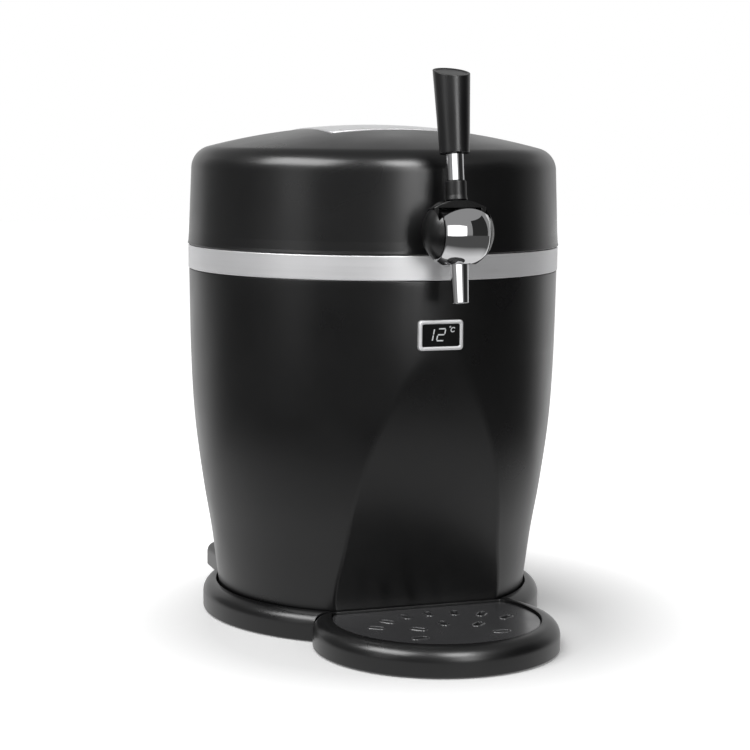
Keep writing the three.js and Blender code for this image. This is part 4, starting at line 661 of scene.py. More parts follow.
class Finish(Nodes):
    """The material of a finish, built on its principled shader."""

    def __init__(self, name, colour, **constants):
        self.material = bpy.data.materials.new(name)
        self.material.use_nodes = True
        super().__init__(self.material.node_tree)
        self.shader = self.tree.nodes["Principled BSDF"]
        opaque = (*colour, 1)
        self.shader.inputs["Base Color"].default_value = opaque
        self.material.diffuse_color = opaque
        for socket, value in constants.items():
            self.shader.inputs[socket.capitalize()].default_value = value
        self.place = self.node("ShaderNodeTexCoord", output="Object")

    def feed(self, socket, value):
        self.tree.links.new(value.socket, self.shader.inputs[socket])

    def stretched(self, scale):
        """The place on the piece, in metres, scaled along each axis."""
        return self.node(
            "ShaderNodeMapping", {"vector_type": "POINT"}, {"Vector": self.place, "Scale": scale}
        )

    def noise(self, scale, detail, roughness=0.5, place=None):
        """Noise with a scale per metre, or per unit of a stretched place."""
        return self.node(
            "ShaderNodeTexNoise",
            inputs={
                "Vector": place or self.place,
                "Scale": scale,
                "Detail": detail,
                "Roughness": roughness,
            },
        )

    def blend(self, share, first, second):
        """Mixes two colours."""
        return self.node(
            "ShaderNodeMix",
            {"data_type": "RGBA"},
            {0: share, 6: (*first, 1), 7: (*second, 1)},
            output=2,
        )

    def bump(self, height, distance):
        """Raises the surface by a height from 0 to 1 over a distance in millimetres."""
        normal = self.node(
            "ShaderNodeBump",
            inputs={"Height": height, "Distance": distance * MM, "Strength": 1.0},
            output="Normal",
        )
        self.feed("Normal", normal)


def scaled(colour, factor):
    return tuple(part * factor for part in colour)


def moulded(name, colour, roughness, grain=0.35, depth=0.012):
    """Moulded plastic: a fine even grain, in millimetres, and a gloss and tone that drift."""
    finish = Finish(name, colour, roughness=roughness)
    cloud = finish.noise(14, detail=3)
    fine = finish.noise(1 / (grain * MM), detail=2, roughness=0.6)
    finish.feed("Base Color", finish.blend(cloud, scaled(colour, 0.9), scaled(colour, 1.1)))
    finish.feed("Roughness", finish.ramp(cloud, 0.3, 0.7, roughness - 0.05, roughness + 0.05))
    finish.bump(fine, depth)
    return finish


def glossy(name, colour, roughness):
    """Polished plastic: faint smears and a very shallow waviness."""
    finish = Finish(name, colour, roughness=roughness)
    smear = finish.noise(1, detail=3, roughness=0.6, place=finish.stretched((40, 40, 14)))
    finish.feed("Roughness", finish.ramp(smear, 0.35, 0.75, roughness * 0.8, roughness * 1.35))
    finish.feed("Base Color", finish.blend(smear, scaled(colour, 0.92), scaled(colour, 1.08)))
    finish.bump(finish.noise(120, detail=1), 0.004)
    return finish


def plated(name, colour, roughness):
    """Bright plate: a little haze that wanders over it."""
    finish = Finish(name, colour, roughness=roughness, metallic=1.0)
    haze = finish.noise(60, detail=4, roughness=0.6)
    finish.feed("Roughness", finish.ramp(haze, 0.45, 0.75, roughness, roughness + 0.03))
    finish.feed("Base Color", finish.blend(haze, scaled(colour, 0.97), colour))
    return finish


def brushed(name, colour, roughness, lines=(4, 4, 900), metallic=1.0):
    """Metal or metal paint with fine lines drawn along one direction."""
    finish = Finish(name, colour, roughness=roughness, metallic=metallic)
    line = finish.noise(1, detail=3, roughness=0.7, place=finish.stretched(lines))
    cloud = finish.noise(18, detail=2)
    haze = line * 0.6 + cloud * 0.4
    finish.feed("Base Color", finish.blend(line, scaled(colour, 0.9), colour))
    finish.feed("Roughness", finish.ramp(haze, 0.3, 0.7, roughness - 0.06, roughness + 0.06))
    finish.bump(line, 0.004)
    return finish


def foamed(name, colour):
    """Rigid foam: packed cells."""
    finish = Finish(name, colour, roughness=0.9)
    cell = finish.node(
        "ShaderNodeTexVoronoi", {"feature": "F1"}, {"Vector": finish.place, "Scale": 320.0}
    )
    finish.feed("Base Color", finish.blend(cell, colour, scaled(colour, 0.8)))
    finish.bump(cell, 0.3)
    return finish


def laminate(name, colour, copper):
    """Circuit board: lacquer over fine copper tracks."""
    finish = Finish(name, colour, roughness=0.35)
    track = finish.node(
        "ShaderNodeTexBrick",
        {"offset": 0.37},
        {
            "Vector": finish.stretched((1, 1, 1)),
            "Scale": 90.0,
            "Mortar Size": 0.03,
            "Color1": (0, 0, 0, 1),
            "Color2": (0, 0, 0, 1),
            "Mortar": (1, 1, 1, 1),
        },
        output="Fac",
    )
    finish.feed("Base Color", finish.blend(track, colour, copper))
    finish.bump(track, 0.05)
    return finish


def clear_tube(name, colour):
    """Clear hose: a slight haze."""
    finish = Finish(name, colour, roughness=0.15, alpha=0.75)
    haze = finish.noise(200, detail=2)
    finish.feed("Roughness", finish.ramp(haze, 0.3, 0.7, 0.1, 0.25))
    finish.feed("Base Color", finish.blend(haze, scaled(colour, 0.93), colour))
    return finish


def glowing(name, colour, level):
    """Lit digits: nearly even light."""
    finish = Finish(name, colour, roughness=0.4)
    cloud = finish.noise(500, detail=2)
    shade = finish.blend(cloud, scaled(colour, 0.92), colour)
    finish.feed("Base Color", shade)
    finish.feed("Emission Color", shade)
    finish.shader.inputs["Emission Strength"].default_value = level
    return finish


# The slot that each finish fills
FINISHES = {}


def finish_for(name):
    """The material of a finish, made at its first use."""
    if not FINISHES:
        colours = bpy.context.scene.dispenser_finishes
        black, silver = tuple(colours.black), tuple(colours.silver)
        FINISHES.update(
            satin=moulded("satin_black_plastic", black, colours.satin),
            grip=moulded("grip_black_plastic", scaled(black, 1.6), 0.33, grain=0.5, depth=0.003),
            gloss=glossy("gloss_black_plastic", scaled(black, 0.6), 0.12),
            cap=glossy("satin_gloss_black_plastic", scaled(black, 0.8), 0.3),
            plate=glossy("drip_plate_plastic", tuple(colours.drip_plate), 0.22),
            silver=brushed("silver_satin", silver, colours.silver_satin, metallic=0.5),
            crown=brushed("silver_crown_plate", silver, 0.3, lines=(900, 4, 4), metallic=0.5),
            chrome=plated("chrome_plate", tuple(colours.chrome), 0.03),
            aluminium=brushed("aluminium", (0.72, 0.73, 0.74), 0.35, lines=(5, 700, 5)),
            steel=brushed("steel", (0.56, 0.56, 0.57), 0.28, lines=(700, 5, 5)),
            rubber=moulded("rubber", (0.02, 0.02, 0.021), 0.75, grain=0.8, depth=0.03),
            foam=foamed("foam", (0.78, 0.77, 0.72)),
            grey=moulded("grey_plastic", (0.26, 0.27, 0.28), 0.45),
            ceramic=moulded("ceramic", (0.86, 0.86, 0.83), 0.5, grain=0.2),
            board=laminate("circuit_board", (0.01, 0.09, 0.04), (0.05, 0.24, 0.1)),
            hose=clear_tube("clear_hose", (0.82, 0.85, 0.83)),
            brass=brushed("brass", (0.68, 0.45, 0.17), 0.25, lines=(5, 5, 600)),
            digits=glowing("digit_light", (0.44, 0.45, 0.46), 0.5),
        )
    return FINISHES[name].material


# Outlines shared by several pieces


def curve_through(shares, steps=16):
    """A smooth curve through pairs of shares, as close points."""
    curve = []
    last = len(shares) - 1
    for number in range(last):
        near = (shares[min(max(number + offset, 0), last)] for offset in (-1, 0, 1, 2))
        # The cubic's factors for the first and the second share
        factors = []
        for a, b, c, d in zip(*near):
            v0, v1 = (c - a) / 2, (d - b) / 2
            factors.append((2 * b - 2 * c + v0 + v1, -3 * b + 3 * c - 2 * v0 - v1, v0, b))
        for step in range(steps):
            t = step / steps
            curve.append([p * t**3 + q * t**2 + r * t + s for p, q, r, s in factors])
    curve.append(list(shares[-1]))
    return curve


SWELL_CURVE = curve_through(SWELL)
CLIMB_CURVE = curve_through(CLIMB)


def share_at(curve, up):
    """The curve's second value at its first. Past the top its last slope goes on."""
    high = next((i for i, place in enumerate(curve) if place[0] >= up), len(curve) - 1)
    low, high = curve[max(high, 1) - 1], curve[max(high, 1)]
    return mixed(low[1], high[1], (up - low[0]) / (high[0] - low[0]))


def body_radius(height):
    up = min(max((height - SKIRT.top) / (BODY.top - SKIRT.top), 0), 1)
    return mixed(BODY_FOOT_RADIUS, BODY_TOP_RADIUS, share_at(SWELL_CURVE, up))


def recess_reach(height):
    up = max((height - SKIRT.top) / (RECESS_TOP - SKIRT.top), 0)
    return mixed(RECESS_FOOT_REACH, body_radius(RECESS_TOP), share_at(CLIMB_CURVE, up))


def body_ring(height, inset, softness):
    """The body's outline at a height: an arc, and the recess's flat with softly rounded corners."""
    radius = body_radius(height) - inset
    reach = recess_reach(height) - inset
    half = max(math.sqrt(max(radius**2 - reach**2, 0)), OPENING_HALF_WIDTH)
    slope = half / math.sqrt(radius**2 - half**2)
    near = min(softness / slope, CREASE_LIMIT * half)
    flat = [
        mixed(near - half, half - near, column / FLAT_COLUMNS) for column in range(1, FLAT_COLUMNS)
    ]
    bend = [half + near * (2 * i / (CREASE_COLUMNS - 1) - 1) for i in range(CREASE_COLUMNS)]
    ring = []
    for x in [-x for x in reversed(bend)] + flat + bend:
        deep = math.sqrt(radius**2 - x**2)
        overlap = max(softness - abs(deep - reach), 0)
        ring.append(point(x, -(min(deep, reach) - overlap**2 / softness / 4), height))
    first = math.asin(bend[-1] / radius)
    for column in range(1, BACK_COLUMNS):
        angle = mixed(first, 2 * math.pi - first, column / BACK_COLUMNS)
        ring.append(point(radius * math.sin(angle), -radius * math.cos(angle), height))
    return ring


def tray_outline(radius, rear, corner):
    """The tray's plan: a circle cut straight behind, with rounded corners."""
    across = math.sqrt((radius - corner) ** 2 - (rear - corner - TRAY_CENTRE) ** 2)
    lean = math.atan2(rear - corner - TRAY_CENTRE, across)
    outline = arc(0, TRAY_CENTRE, radius, -math.pi - lean, lean, 120)
    outline += arc(across, rear - corner, corner, lean, math.pi / 2, 10)[1:]
    outline += [(mixed(across, -across, i / 24), rear) for i in range(1, 24)]
    outline += arc(-across, rear - corner, corner, math.pi / 2, math.pi - lean, 10)[:-1]
    return outline


def rounded_rectangle(half_width, half_depth, corner, side_steps=20, corner_steps=5, y=0):
    """Outline points of a rounded rectangle, from its lower right corner against the clock."""
    outline = []
    signs = [(1, -1), (1, 1), (-1, 1), (-1, -1)]
    centres = [(a * (half_width - corner), y + b * (half_depth - corner)) for a, b in signs]
    for number, centre in enumerate(centres):
        begin = -math.pi / 2 + number * math.pi / 2
        turn = begin + math.pi / 2
        outline += arc(*centre, corner, begin, turn, corner_steps)
        here = outline[-1]
        ahead_x, ahead_y = centres[(number + 1) % len(centres)]
        there = (ahead_x + corner * math.cos(turn), ahead_y + corner * math.sin(turn))
        for step in range(1, side_steps):
            share = step / side_steps
            outline.append((mixed(here[0], there[0], share), mixed(here[1], there[1], share)))
    return outline


def long_slot(half, radius, steps):
    """A slot's outline along X, with round ends about centres that are half to each side."""
    quarter = math.pi / 2
    outline = arc(half, 0, radius, -quarter, quarter, steps)
    return outline + arc(-half, 0, radius, quarter, 3 * quarter, steps)


def lid_outline(inset, arc_steps=14, crown_steps=0):
    """The lid from rim to crown edge, drawn in by an inset."""
    outline = [
        (LID_RIM - inset, LID.bottom),
        (LID_RIM - 0.4 - inset, LID.bottom + 2.3),
        (LID_LOW - inset, LID.bottom + 8.7),
    ]
    end = math.pi / 2 - CROWN_LEAN
    outline += arc(SHOULDER_CENTRE, SHOULDER_Z, SHOULDER - inset, 0, end, arc_steps)
    if crown_steps:
        outline += arc(0, CROWN_Z, CROWN_RADIUS - inset, end, math.pi / 2, crown_steps)[1:]
    return outline


def crown_height(x, y, rise=0):
    return CROWN_Z + math.sqrt((CROWN_RADIUS + rise) ** 2 - x**2 - y**2)


# Pieces


def make_skirt():
    inner = SKIRT.right - SKIRT_WALL
    lip = BODY_FOOT_RADIUS + GROOVE
    outline = softened(
        [
            (inner, SKIRT.bottom, 0.5),
            (SKIRT.right, SKIRT.bottom, 1),
            (SKIRT.right, SKIRT.top, SKIRT_EDGE),
            (lip, SKIRT.top, 0.55),
            (lip, SKIRT_SEAT),
            (lip - SKIRT_LEDGE, SKIRT_SEAT),
            (lip - SKIRT_LEDGE, SKIRT_SEAT - SKIRT_WALL),
            (inner, SKIRT_SEAT - SKIRT_WALL),
        ],
        steps=8,
    )
    skirt = turned("skirt", outline)
    plan = tray_outline(TRAY_RADIUS + SLIP, -RECESS_FOOT_REACH, TRAY_CORNER + SLIP)
    carved(skirt, prism("notch", plan, -OVERRUN, SKIRT.top + OVERRUN))
    eased(skirt, 0.8, angle=40)
    finished(skirt, "housing", "satin", "base_skirt")


def make_feet():
    """One dished foot, modelled at the origin and copied to each place."""
    spans = {node: Span(node) for node in frame["nodes"] if "foot" in node}
    first = next(iter(spans.values()))
    radius = (first.right - first.left) / 2
    outline = softened(
        [
            (0, FOOT_DISH),
            (radius - FOOT_RING, FOOT_DISH, 0.4),
            (radius - FOOT_RING + 0.8, 0, 0.3),
            (radius, 0, 0.6),
            (radius - FOOT_DRAFT, first.top, 0.2),
            (0, first.top),
        ],
        closed=False,
        steps=4,
    )
    pattern = turned("foot_pattern", outline, SMALL_ROUND, closed=False)
    for number, (node, span) in enumerate(spans.items(), 1):
        foot = copied(pattern, "foot_pad" if number == 1 else f"foot_pad_{number}")
        placed(foot, (span.x, span.y, 0))
        finished(foot, "housing", "rubber", node)
    discard(pattern)


def make_body(settings):
    """Grown in rings up the outside and down the inside, then opened for display and cooler."""
    softness = settings.crease / MM
    foot, top = BODY.bottom, BODY.top
    opening = (DISPLAY_Z - OPENING_HALF_HEIGHT, DISPLAY_Z + OPENING_HALF_HEIGHT)
    rows = [mixed(SKIRT.top, top - BODY_EDGE, i / BODY_ROWS) for i in range(BODY_ROWS + 1)]
    rows = [z for z in rows if all(abs(z - edge) > ROW_GAP for edge in opening)]
    rows = sorted([*rows, *opening])
    outer = [(foot, BODY_EDGE), (foot + BODY_EDGE, 0), (foot + BODY_WALL, 0)]
    outer += [(z, 0) for z in rows]
    outer += [(top - BODY_EDGE * 0.3, BODY_EDGE * 0.3), (top, BODY_EDGE)]
    inner_rows = [z for i, z in enumerate(rows) if z in opening or i % INNER_ROW_STEP == 0]
    inner = [(z, BODY_WALL) for z in (top, *reversed(inner_rows), foot)]
    rings = [body_ring(z, inset, softness) for z, inset in outer + inner]
    body = grown("body", rings, closed=True)

    def in_opening(face):
        x, y, z = face.calc_center_median() / MM
        return abs(x) < OPENING_HALF_WIDTH and opening[0] < z < opening[1] and y < -OPENING_REACH

    with editing(body):
        pick(body, "faces", in_opening)
        bpy.ops.mesh.bridge_edge_loops()
        clean()
    half = COOLER_HALF + SLIP
    near, far = COOLER_REACH
    window = block("cooler_window", (-half, near, GRILLE.z - half), (half, far, GRILLE.z + half))
    carved(body, window)
    finished(body, "housing", "satin", "body_shell")


def make_band():
    inner = BAND.right - BAND_WALL
    outline = softened(
        [
            (inner, BAND.bottom, 0.3),
            (BAND.right, BAND.bottom, BAND_EDGE),
            (BAND.right, BAND.top, BAND_EDGE),
            (inner, BAND.top, 0.3),
        ],
        steps=5,
    )
    finished(turned("band", outline), "housing", "silver", "trim_band")


def make_lid():
    """Grown in rings from the plate's window, over crown and shoulder, round the rim and back."""
    window = rounded_rectangle(
        CROWN_PLATE.right + SLIP, CROWN_PLATE.back + SLIP, CROWN_PLATE_CORNER + SLIP, LID_SIDE_STEPS
    )
    count = len(window)
    first = math.atan2(window[0][1], window[0][0])
    even = [first + 2 * math.pi * i / count for i in range(count)]

    def crown_ring(share, rise):
        """Between the window's outline and the crown's round edge."""
        edge = SHOULDER_CENTRE + (SHOULDER + rise) * math.sin(CROWN_LEAN)
        ring = []
        for (x, y), angle in zip(window, even):
            x = mixed(x, edge * math.cos(angle), share)
            y = mixed(y, edge * math.sin(angle), share)
            ring.append(point(x, y, crown_height(x, y, rise)))
        return ring

    def round_ring(radius, height):
        return [point(radius * math.cos(a), radius * math.sin(a), height) for a in even]

    # The window's eased edge and the crown
    rings = [crown_ring(0, -0.5), crown_ring(0.004, -0.12)]
    rings += [crown_ring(mixed(0.012, 1, i / CROWN_ROWS), 0) for i in range(CROWN_ROWS + 1)]
    # The side, from the shoulder down, with its rim eased below
    rim, lip, wall, *shoulder = lid_outline(0)
    side = softened([rim, (*lip, 0.6), (*wall, 6), *shoulder], closed=False, steps=4)
    rings += [round_ring(*place) for place in reversed(side[1:-1])]
    radius, height = side[0]
    rings += [round_ring(radius, height + LID_EDGE), round_ring(radius - LID_EDGE, height)]
    # The inside
    rings += [round_ring(*place) for place in lid_outline(LID_WALL, arc_steps=8)]
    rings += [crown_ring(1 - i / 6, -LID_WALL) for i in range(1, 7)]
    lid = grown("lid", rings, closed=True)
    hole = bar("shank_hole", SHANK + TOUCH, *SHANK_HOLE_REACH, "Y")
    carved(lid, placed(hole, (0, 0, TAP_CENTRE[2]), (0, 0, math.pi)))
    finished(lid, "lid", "satin", "lid_shell")


def make_crown_plate():
    """The square plate in the crown, bowed like it, with its stem below."""

    def ring(shrink, rise):
        keep = 1 - shrink
        corner = max(CROWN_PLATE_CORNER * keep, 0.3)
        outline = rounded_rectangle(CROWN_PLATE.right * keep, CROWN_PLATE.back * keep, corner, 16)
        return [point(x, y, crown_height(x, y, rise)) for x, y in outline]

    proud = CROWN_PLATE_PROUD
    under = proud - CROWN_PLATE_THICKNESS
    edge = CROWN_PLATE_EDGE / CROWN_PLATE.right
    rings = [ring(share, under) for share in (0.97, 0.6, 0.2, 0)]
    rings += [ring(0, proud - CROWN_PLATE_EDGE), ring(edge * 0.3, proud - 0.15)]
    rings += [ring(share, proud) for share in (edge, 0.1, 0.25, 0.4, 0.6, 0.8, 0.97)]
    plate = grown("crown_plate", rings)
    root = CROWN_TOP + under
    stem = bar("crown_plate_stem", STEM, root - STEM_LENGTH, root + 0.5, edge=0.6)
    finished(fused(plate, stem), "push_plate", "crown", "release_plate")


def make_display():
    def ring(half_width, half_height, corner, reach):
        outline = rounded_rectangle(half_width, half_height, corner, 6)
        return [point(x, -reach, DISPLAY_Z + z) for x, z in outline]

    # The frame: from its foot over its front and back down into the opening
    half_width = (BEZEL.right - BEZEL.left) / 2
    half_height = (BEZEL.top - BEZEL.bottom) / 2
    line = half_width - OPENING_HALF_WIDTH + TOUCH
    levels = [
        (0, 3.2), (0, 0.8), (0.25, 0.2), (0.8, 0),
        (line - 0.7, 0), (line - 0.2, 0.15), (line, 0.5), (line, 6),
    ]
    rings = []
    for inset, sink in levels:
        corner = max(2.4 - inset * 0.45, 1)
        rings.append(ring(half_width - inset, half_height - inset, corner, -BEZEL.front - sink))
    bezel = grown("display_frame", rings, closed=True)
    finished(bezel, "housing", "silver", "display_bezel")

    # The glass
    half_width, half_height = OPENING_HALF_WIDTH - TOUCH, OPENING_HALF_HEIGHT - TOUCH
    rings = [
        ring(half_width - inset, half_height - inset, 1, -WINDOW.front - sink)
        for inset, sink in [(0, 3), (0, 0.2), (0.2, 0)]
    ]
    window = grown_along_y("display_glass", rings)
    finished(window, "housing", "gloss", "display_window")


def make_digits():
    """The temperature on the display, each bar a thin raised slab, leaning with the digits."""
    front = -WINDOW.front
    upper, lower = DIGIT_Z + UPRIGHT_RISE, DIGIT_Z - UPRIGHT_RISE
    bars = []

    def slab(x, z, width, height):
        """A bar about a place on the display."""
        signs = [(-1, -1), (1, -1), (1, 1), (-1, 1)]
        outline = softened([(a * width / 2, b * height / 2, 0.3) for a, b in signs], steps=3)
        bars.append([(x + a + DIGIT_SLANT * (z + b - DIGIT_Z), z + b) for a, b in outline])

    # One
    for z in (upper, lower):
        slab(ONE_X, z, DIGIT_BAR, 3.6)
    # Two: top, middle and foot, then upper right and lower left
    left, right = TWO_X
    for z in (DIGIT_Z + DIGIT_STEP, DIGIT_Z, DIGIT_Z - DIGIT_STEP):
        slab((left + right) / 2, z, right - left - 0.7, DIGIT_BAR)
    slab(right - 0.2, upper, DIGIT_BAR, 3.1)
    slab(left + 0.2, lower, DIGIT_BAR, 3.1)
    # C, and the ring before it
    middle = DIGIT_Z + UNIT_RISE
    ends = (math.radians(35), math.radians(325))
    outline = arc(UNIT_X, middle, 1.8, *ends, 20) + arc(UNIT_X, middle, 1.15, *reversed(ends), 20)
    bars.append([(x + DIGIT_SLANT * (z - middle), z) for x, z in outline])
    ring = turned("degree_ring", [(0.3, -0.15), (0.62, -0.15), (0.62, 0.06), (0.3, 0.06)], 20)
    placed(ring, (RING_X, -front, DIGIT_Z + RING_RISE), (math.pi / 2, 0, 0))

    digits, *others = [
        grown_along_y(
            f"digit_bar_{number}",
            [[point(x, -(front + rise), z) for x, z in outline] for rise in (-0.2, 0.06)],
        )
        for number, outline in enumerate(bars)
    ]
    fused(digits, *others, ring)
    digits.name = "display_digits"
    finished(digits, "housing", "digits")


def sweep_cutter(name):
    """The room that the yoke swings through."""
    half = YOKE_DEPTH + SLIP
    far = BALL + 8
    across = YOKE_HALF + TOUCH
    sine, cosine = math.sin(TAP_SLOT_SWING), math.cos(TAP_SLOT_SWING)

    def swung(distance):
        return (-half * cosine - distance * sine, -half * sine + distance * cosine)

    wedge = side_prism(name, [(half, 0), (half, far), swung(far), swung(0)], -across, across)
    return fused(wedge, bar(name + "_round", half, -across, across, "X"))


def belt_slice(name):
    """The middle slice of the ball, hollow along X."""
    edge_angle = math.acos(BELT_HALF / BALL)
    rim = BALL * math.sin(edge_angle) - 0.6
    outline = [(CORE + TOUCH, -BELT_HALF), (rim, -BELT_HALF)]
    for i in range(BALL_STEPS + 1):
        angle = mixed(edge_angle + BALL_EASE, math.pi - edge_angle - BALL_EASE, i / BALL_STEPS)
        outline.append((BALL * math.sin(angle), -BALL * math.cos(angle)))
    outline += [(rim, BELT_HALF), (CORE + TOUCH, BELT_HALF)]
    return placed(turned(name, outline, 128), turn=(0, math.pi / 2, 0))


def make_ball():
    """The ball's chrome front shell, black rear shell, side caps and core."""
    slit = YOKE_DEPTH + TOUCH
    front = belt_slice("tap_front")
    carved(
        front,
        block("front_keep", (-BEYOND, slit, -BEYOND), (BEYOND, BEYOND, BEYOND)),
        block("front_flat", (-BEYOND, -BEYOND, -BEYOND), (BEYOND, BEYOND, -BALL_FLAT)),
        sweep_cutter("front_sweep"),
        bar("front_spout_hole", SPOUT_TOP + TOUCH, -BEYOND, 0),
    )
    eased(front, 0.45, angle=32)
    finished(onto_tap(front), "lid", "chrome", "faucet_front_shell")
    lit_as_chrome(front)

    slit = YOKE_DEPTH + SLIP
    rear = belt_slice("tap_rear")
    neck_hole = bar("rear_neck_hole", NECK + TOUCH, 0, BEYOND, "Y")
    carved(
        rear,
        block("rear_keep", (-BEYOND, -BEYOND, -BEYOND), (BEYOND, slit, BEYOND)),
        block("rear_flat", (-BEYOND, -BEYOND, -BEYOND), (BEYOND, BEYOND, -BALL_FLAT)),
        block("rear_roof", (-BEYOND, -BEYOND, YOKE_TOP), (BEYOND, BEYOND, BEYOND)),
        placed(neck_hole, turn=(TAP_TILT, 0, 0)),
    )
    eased(rear, 0.35, segments=2)
    finished(onto_tap(rear), "lid", "cap", "faucet_rear_shell")

    inner = BELT_HALF + TOUCH
    begin = math.acos(inner / BALL)
    outline = [(0, inner), (BALL * math.sin(begin) - 0.5, inner)]
    for i in range(CAP_STEPS):
        angle = mixed(begin - BALL_EASE, 0, i / CAP_STEPS)
        outline.append((BALL * math.sin(angle), BALL * math.cos(angle)))
    outline.append((0, BALL))
    for side, name in ((1, "right"), (-1, "left")):
        cap = turned(f"tap_cap_{name}", outline, MIDDLE_ROUND, closed=False)
        placed(cap, turn=(0, side * math.pi / 2, 0))
        carved(cap, sweep_cutter("cap_sweep"), bar("cap_seat", STUD, -CAP_SEAT, CAP_SEAT, "X"))
        eased(cap, 0.3, segments=2)
        finished(onto_tap(cap), "lid", "cap", f"side_cap_{name}")

    polished("faucet_core", "gloss", 0.2)


def make_neck():
    """From the ball's hollow into the lid, with the shank behind it and a bore through both."""
    _, ball_y, ball_z = TAP_CENTRE
    neck = placed(bar("tap_neck", NECK, NECK_START, BEYOND, "Y", edge=0.4), (0, ball_y, ball_z))
    hollow = placed(bar("neck_hollow", CORE + TOUCH, -BEYOND, BEYOND, "X"), (0, ball_y, ball_z))
    low = LID.bottom - OVERRUN
    outline = [(radius + TOUCH, z) for radius, z in [(LID_RIM, low), *lid_outline(0)]]
    outline = [(0, low), *outline, (0, CROWN_TOP)]
    carved(neck, hollow, turned("lid_room", outline, closed=False))
    shank = bar("tap_shank", SHANK, SHANK_TIP, SHANK_END, "Y", edge=0.4)
    fused(neck, placed(shank, (0, 0, ball_z)))
    bore = bar("neck_bore", BORE, SHANK_TIP - OVERRUN, SHANK_END + OVERRUN, "Y")
    carved(neck, placed(bore, (0, 0, ball_z)))
    finished(neck, "lid", "cap", "faucet_shank")


def make_spout():
    top = -(CORE + TOUCH)
    outline = softened(
        [
            (SPOUT_BORE, SPOUT_TIP, 0.5),
            (SPOUT_END, SPOUT_TIP, 0.6),
            (SPOUT_TOP, -BALL_FLAT),
            (SPOUT_TOP, top),
            (SPOUT_BORE, top),
        ],
        steps=4,
    )
    spout = onto_tap(turned("tap_spout", outline, MIDDLE_ROUND))
    finished(spout, "lid", "chrome", "spout")
    lit_as_chrome(spout)


def make_yoke():
    """An arch over the core, cut to its side view, with a hole for the rod and one for the pins."""
    inner = YOKE_HALF - YOKE_ARM
    underside = CORE + 0.6
    foot = -YOKE_DEPTH - TOUCH
    drop = YOKE_TOP - YOKE_SHOULDER
    shares = [1 - i / YOKE_STEPS for i in range(2 * YOKE_STEPS + 1)]
    arch = [(YOKE_HALF * share, YOKE_TOP - drop * share * share) for share in shares]
    arch += [
        (-YOKE_HALF, foot), (-inner, foot), (-inner, underside),
        (inner, underside), (inner, foot), (YOKE_HALF, foot),
    ]
    reach = YOKE_DEPTH + 8
    yoke = placed(prism("lever_arch", arch, -reach, reach), turn=(math.pi / 2, 0, 0))
    side = [(YOKE_DEPTH, YOKE_TOP + 8), (-YOKE_DEPTH, YOKE_TOP + 8)]
    side += arc(0, 0, YOKE_DEPTH, math.pi, 2 * math.pi, 32)
    combined(yoke, "INTERSECT", side_prism("arch_side", side, -YOKE_HALF - 1, YOKE_HALF + 1))
    rod_hole = bar("stud_hole", STUD, 0, BEYOND)
    carved(yoke, rod_hole, bar("spindle_hole", STUD, -BEYOND, BEYOND, "X"))
    eased(yoke, 0.6)
    finished(onto_tap(yoke), "tap_lever", "gloss", "lever_yoke")


def make_lever():
    outline = softened(
        [
            (STUD, SLEEVE_BOTTOM),
            (SLEEVE_FOOT, SLEEVE_BOTTOM, 0.4),
            (SLEEVE, SLEEVE_BOTTOM + 3.2, 3),
            (SLEEVE, SLEEVE_TOP, 0.5),
            (STUD, SLEEVE_TOP),
        ],
        steps=5,
    )
    sleeve = onto_tap(turned("lever_collar", outline, MIDDLE_ROUND))
    finished(sleeve, "tap_lever", "cap", "lever_sleeve")

    end = ROD_TOP + 20
    outline = softened(
        [
            (0, ROD_FOOT), (ROD_CORE, ROD_FOOT), (ROD_CORE, ROD_BOTTOM), (ROD, ROD_BOTTOM, 0.3),
            (ROD, ROD_TOP, 0.3), (ROD_CORE, ROD_TOP), (ROD_CORE, end), (0, end),
        ],
        closed=False,
        steps=4,
    )
    rod = onto_tap(turned("lever_stem", outline, MIDDLE_ROUND, closed=False))
    finished(rod, "tap_lever", "chrome", "lever_rod")
    lit_as_chrome(rod)

    # The grip widens upwards and ends in a slanted, slightly dished face
    top = GRIP_BOTTOM + GRIP_LENGTH
    head = top + GRIP_SPARE
    slope = (GRIP_HEAD - GRIP_FOOT) / GRIP_LENGTH
    socket = GRIP_BOTTOM + GRIP_SOCKET
    outline = softened(
        [
            (0, socket), (STUD, socket), (STUD, GRIP_BOTTOM), (GRIP_FOOT, GRIP_BOTTOM, 0.5),
            (GRIP_HEAD + slope * GRIP_SPARE, head), (0, head),
        ],
        closed=False,
    )
    grip = turned("lever_handle", outline, MIDDLE_ROUND, closed=False)
    normal = Vector((0, -GRIP_SLANT, 1)).normalized()
    with editing(grip):
        bpy.ops.mesh.select_all(action="SELECT")
        bpy.ops.mesh.bisect(
            plane_co=point(0, 0, top), plane_no=normal, use_fill=True, clear_outer=True
        )
        clean()
        pick(grip, "faces", lambda face: face.normal.dot(normal) > 0.99 and face.calc_area() > 1e-4)
        bpy.ops.mesh.inset(thickness=1.5 * MM, use_even_offset=True)
        bpy.ops.mesh.inset(thickness=0.5 * MM, depth=-0.5 * MM, use_even_offset=True)
    eased(grip, 0.45, angle=38)
    finished(onto_tap(grip), "tap_lever", "grip", "lever_grip")


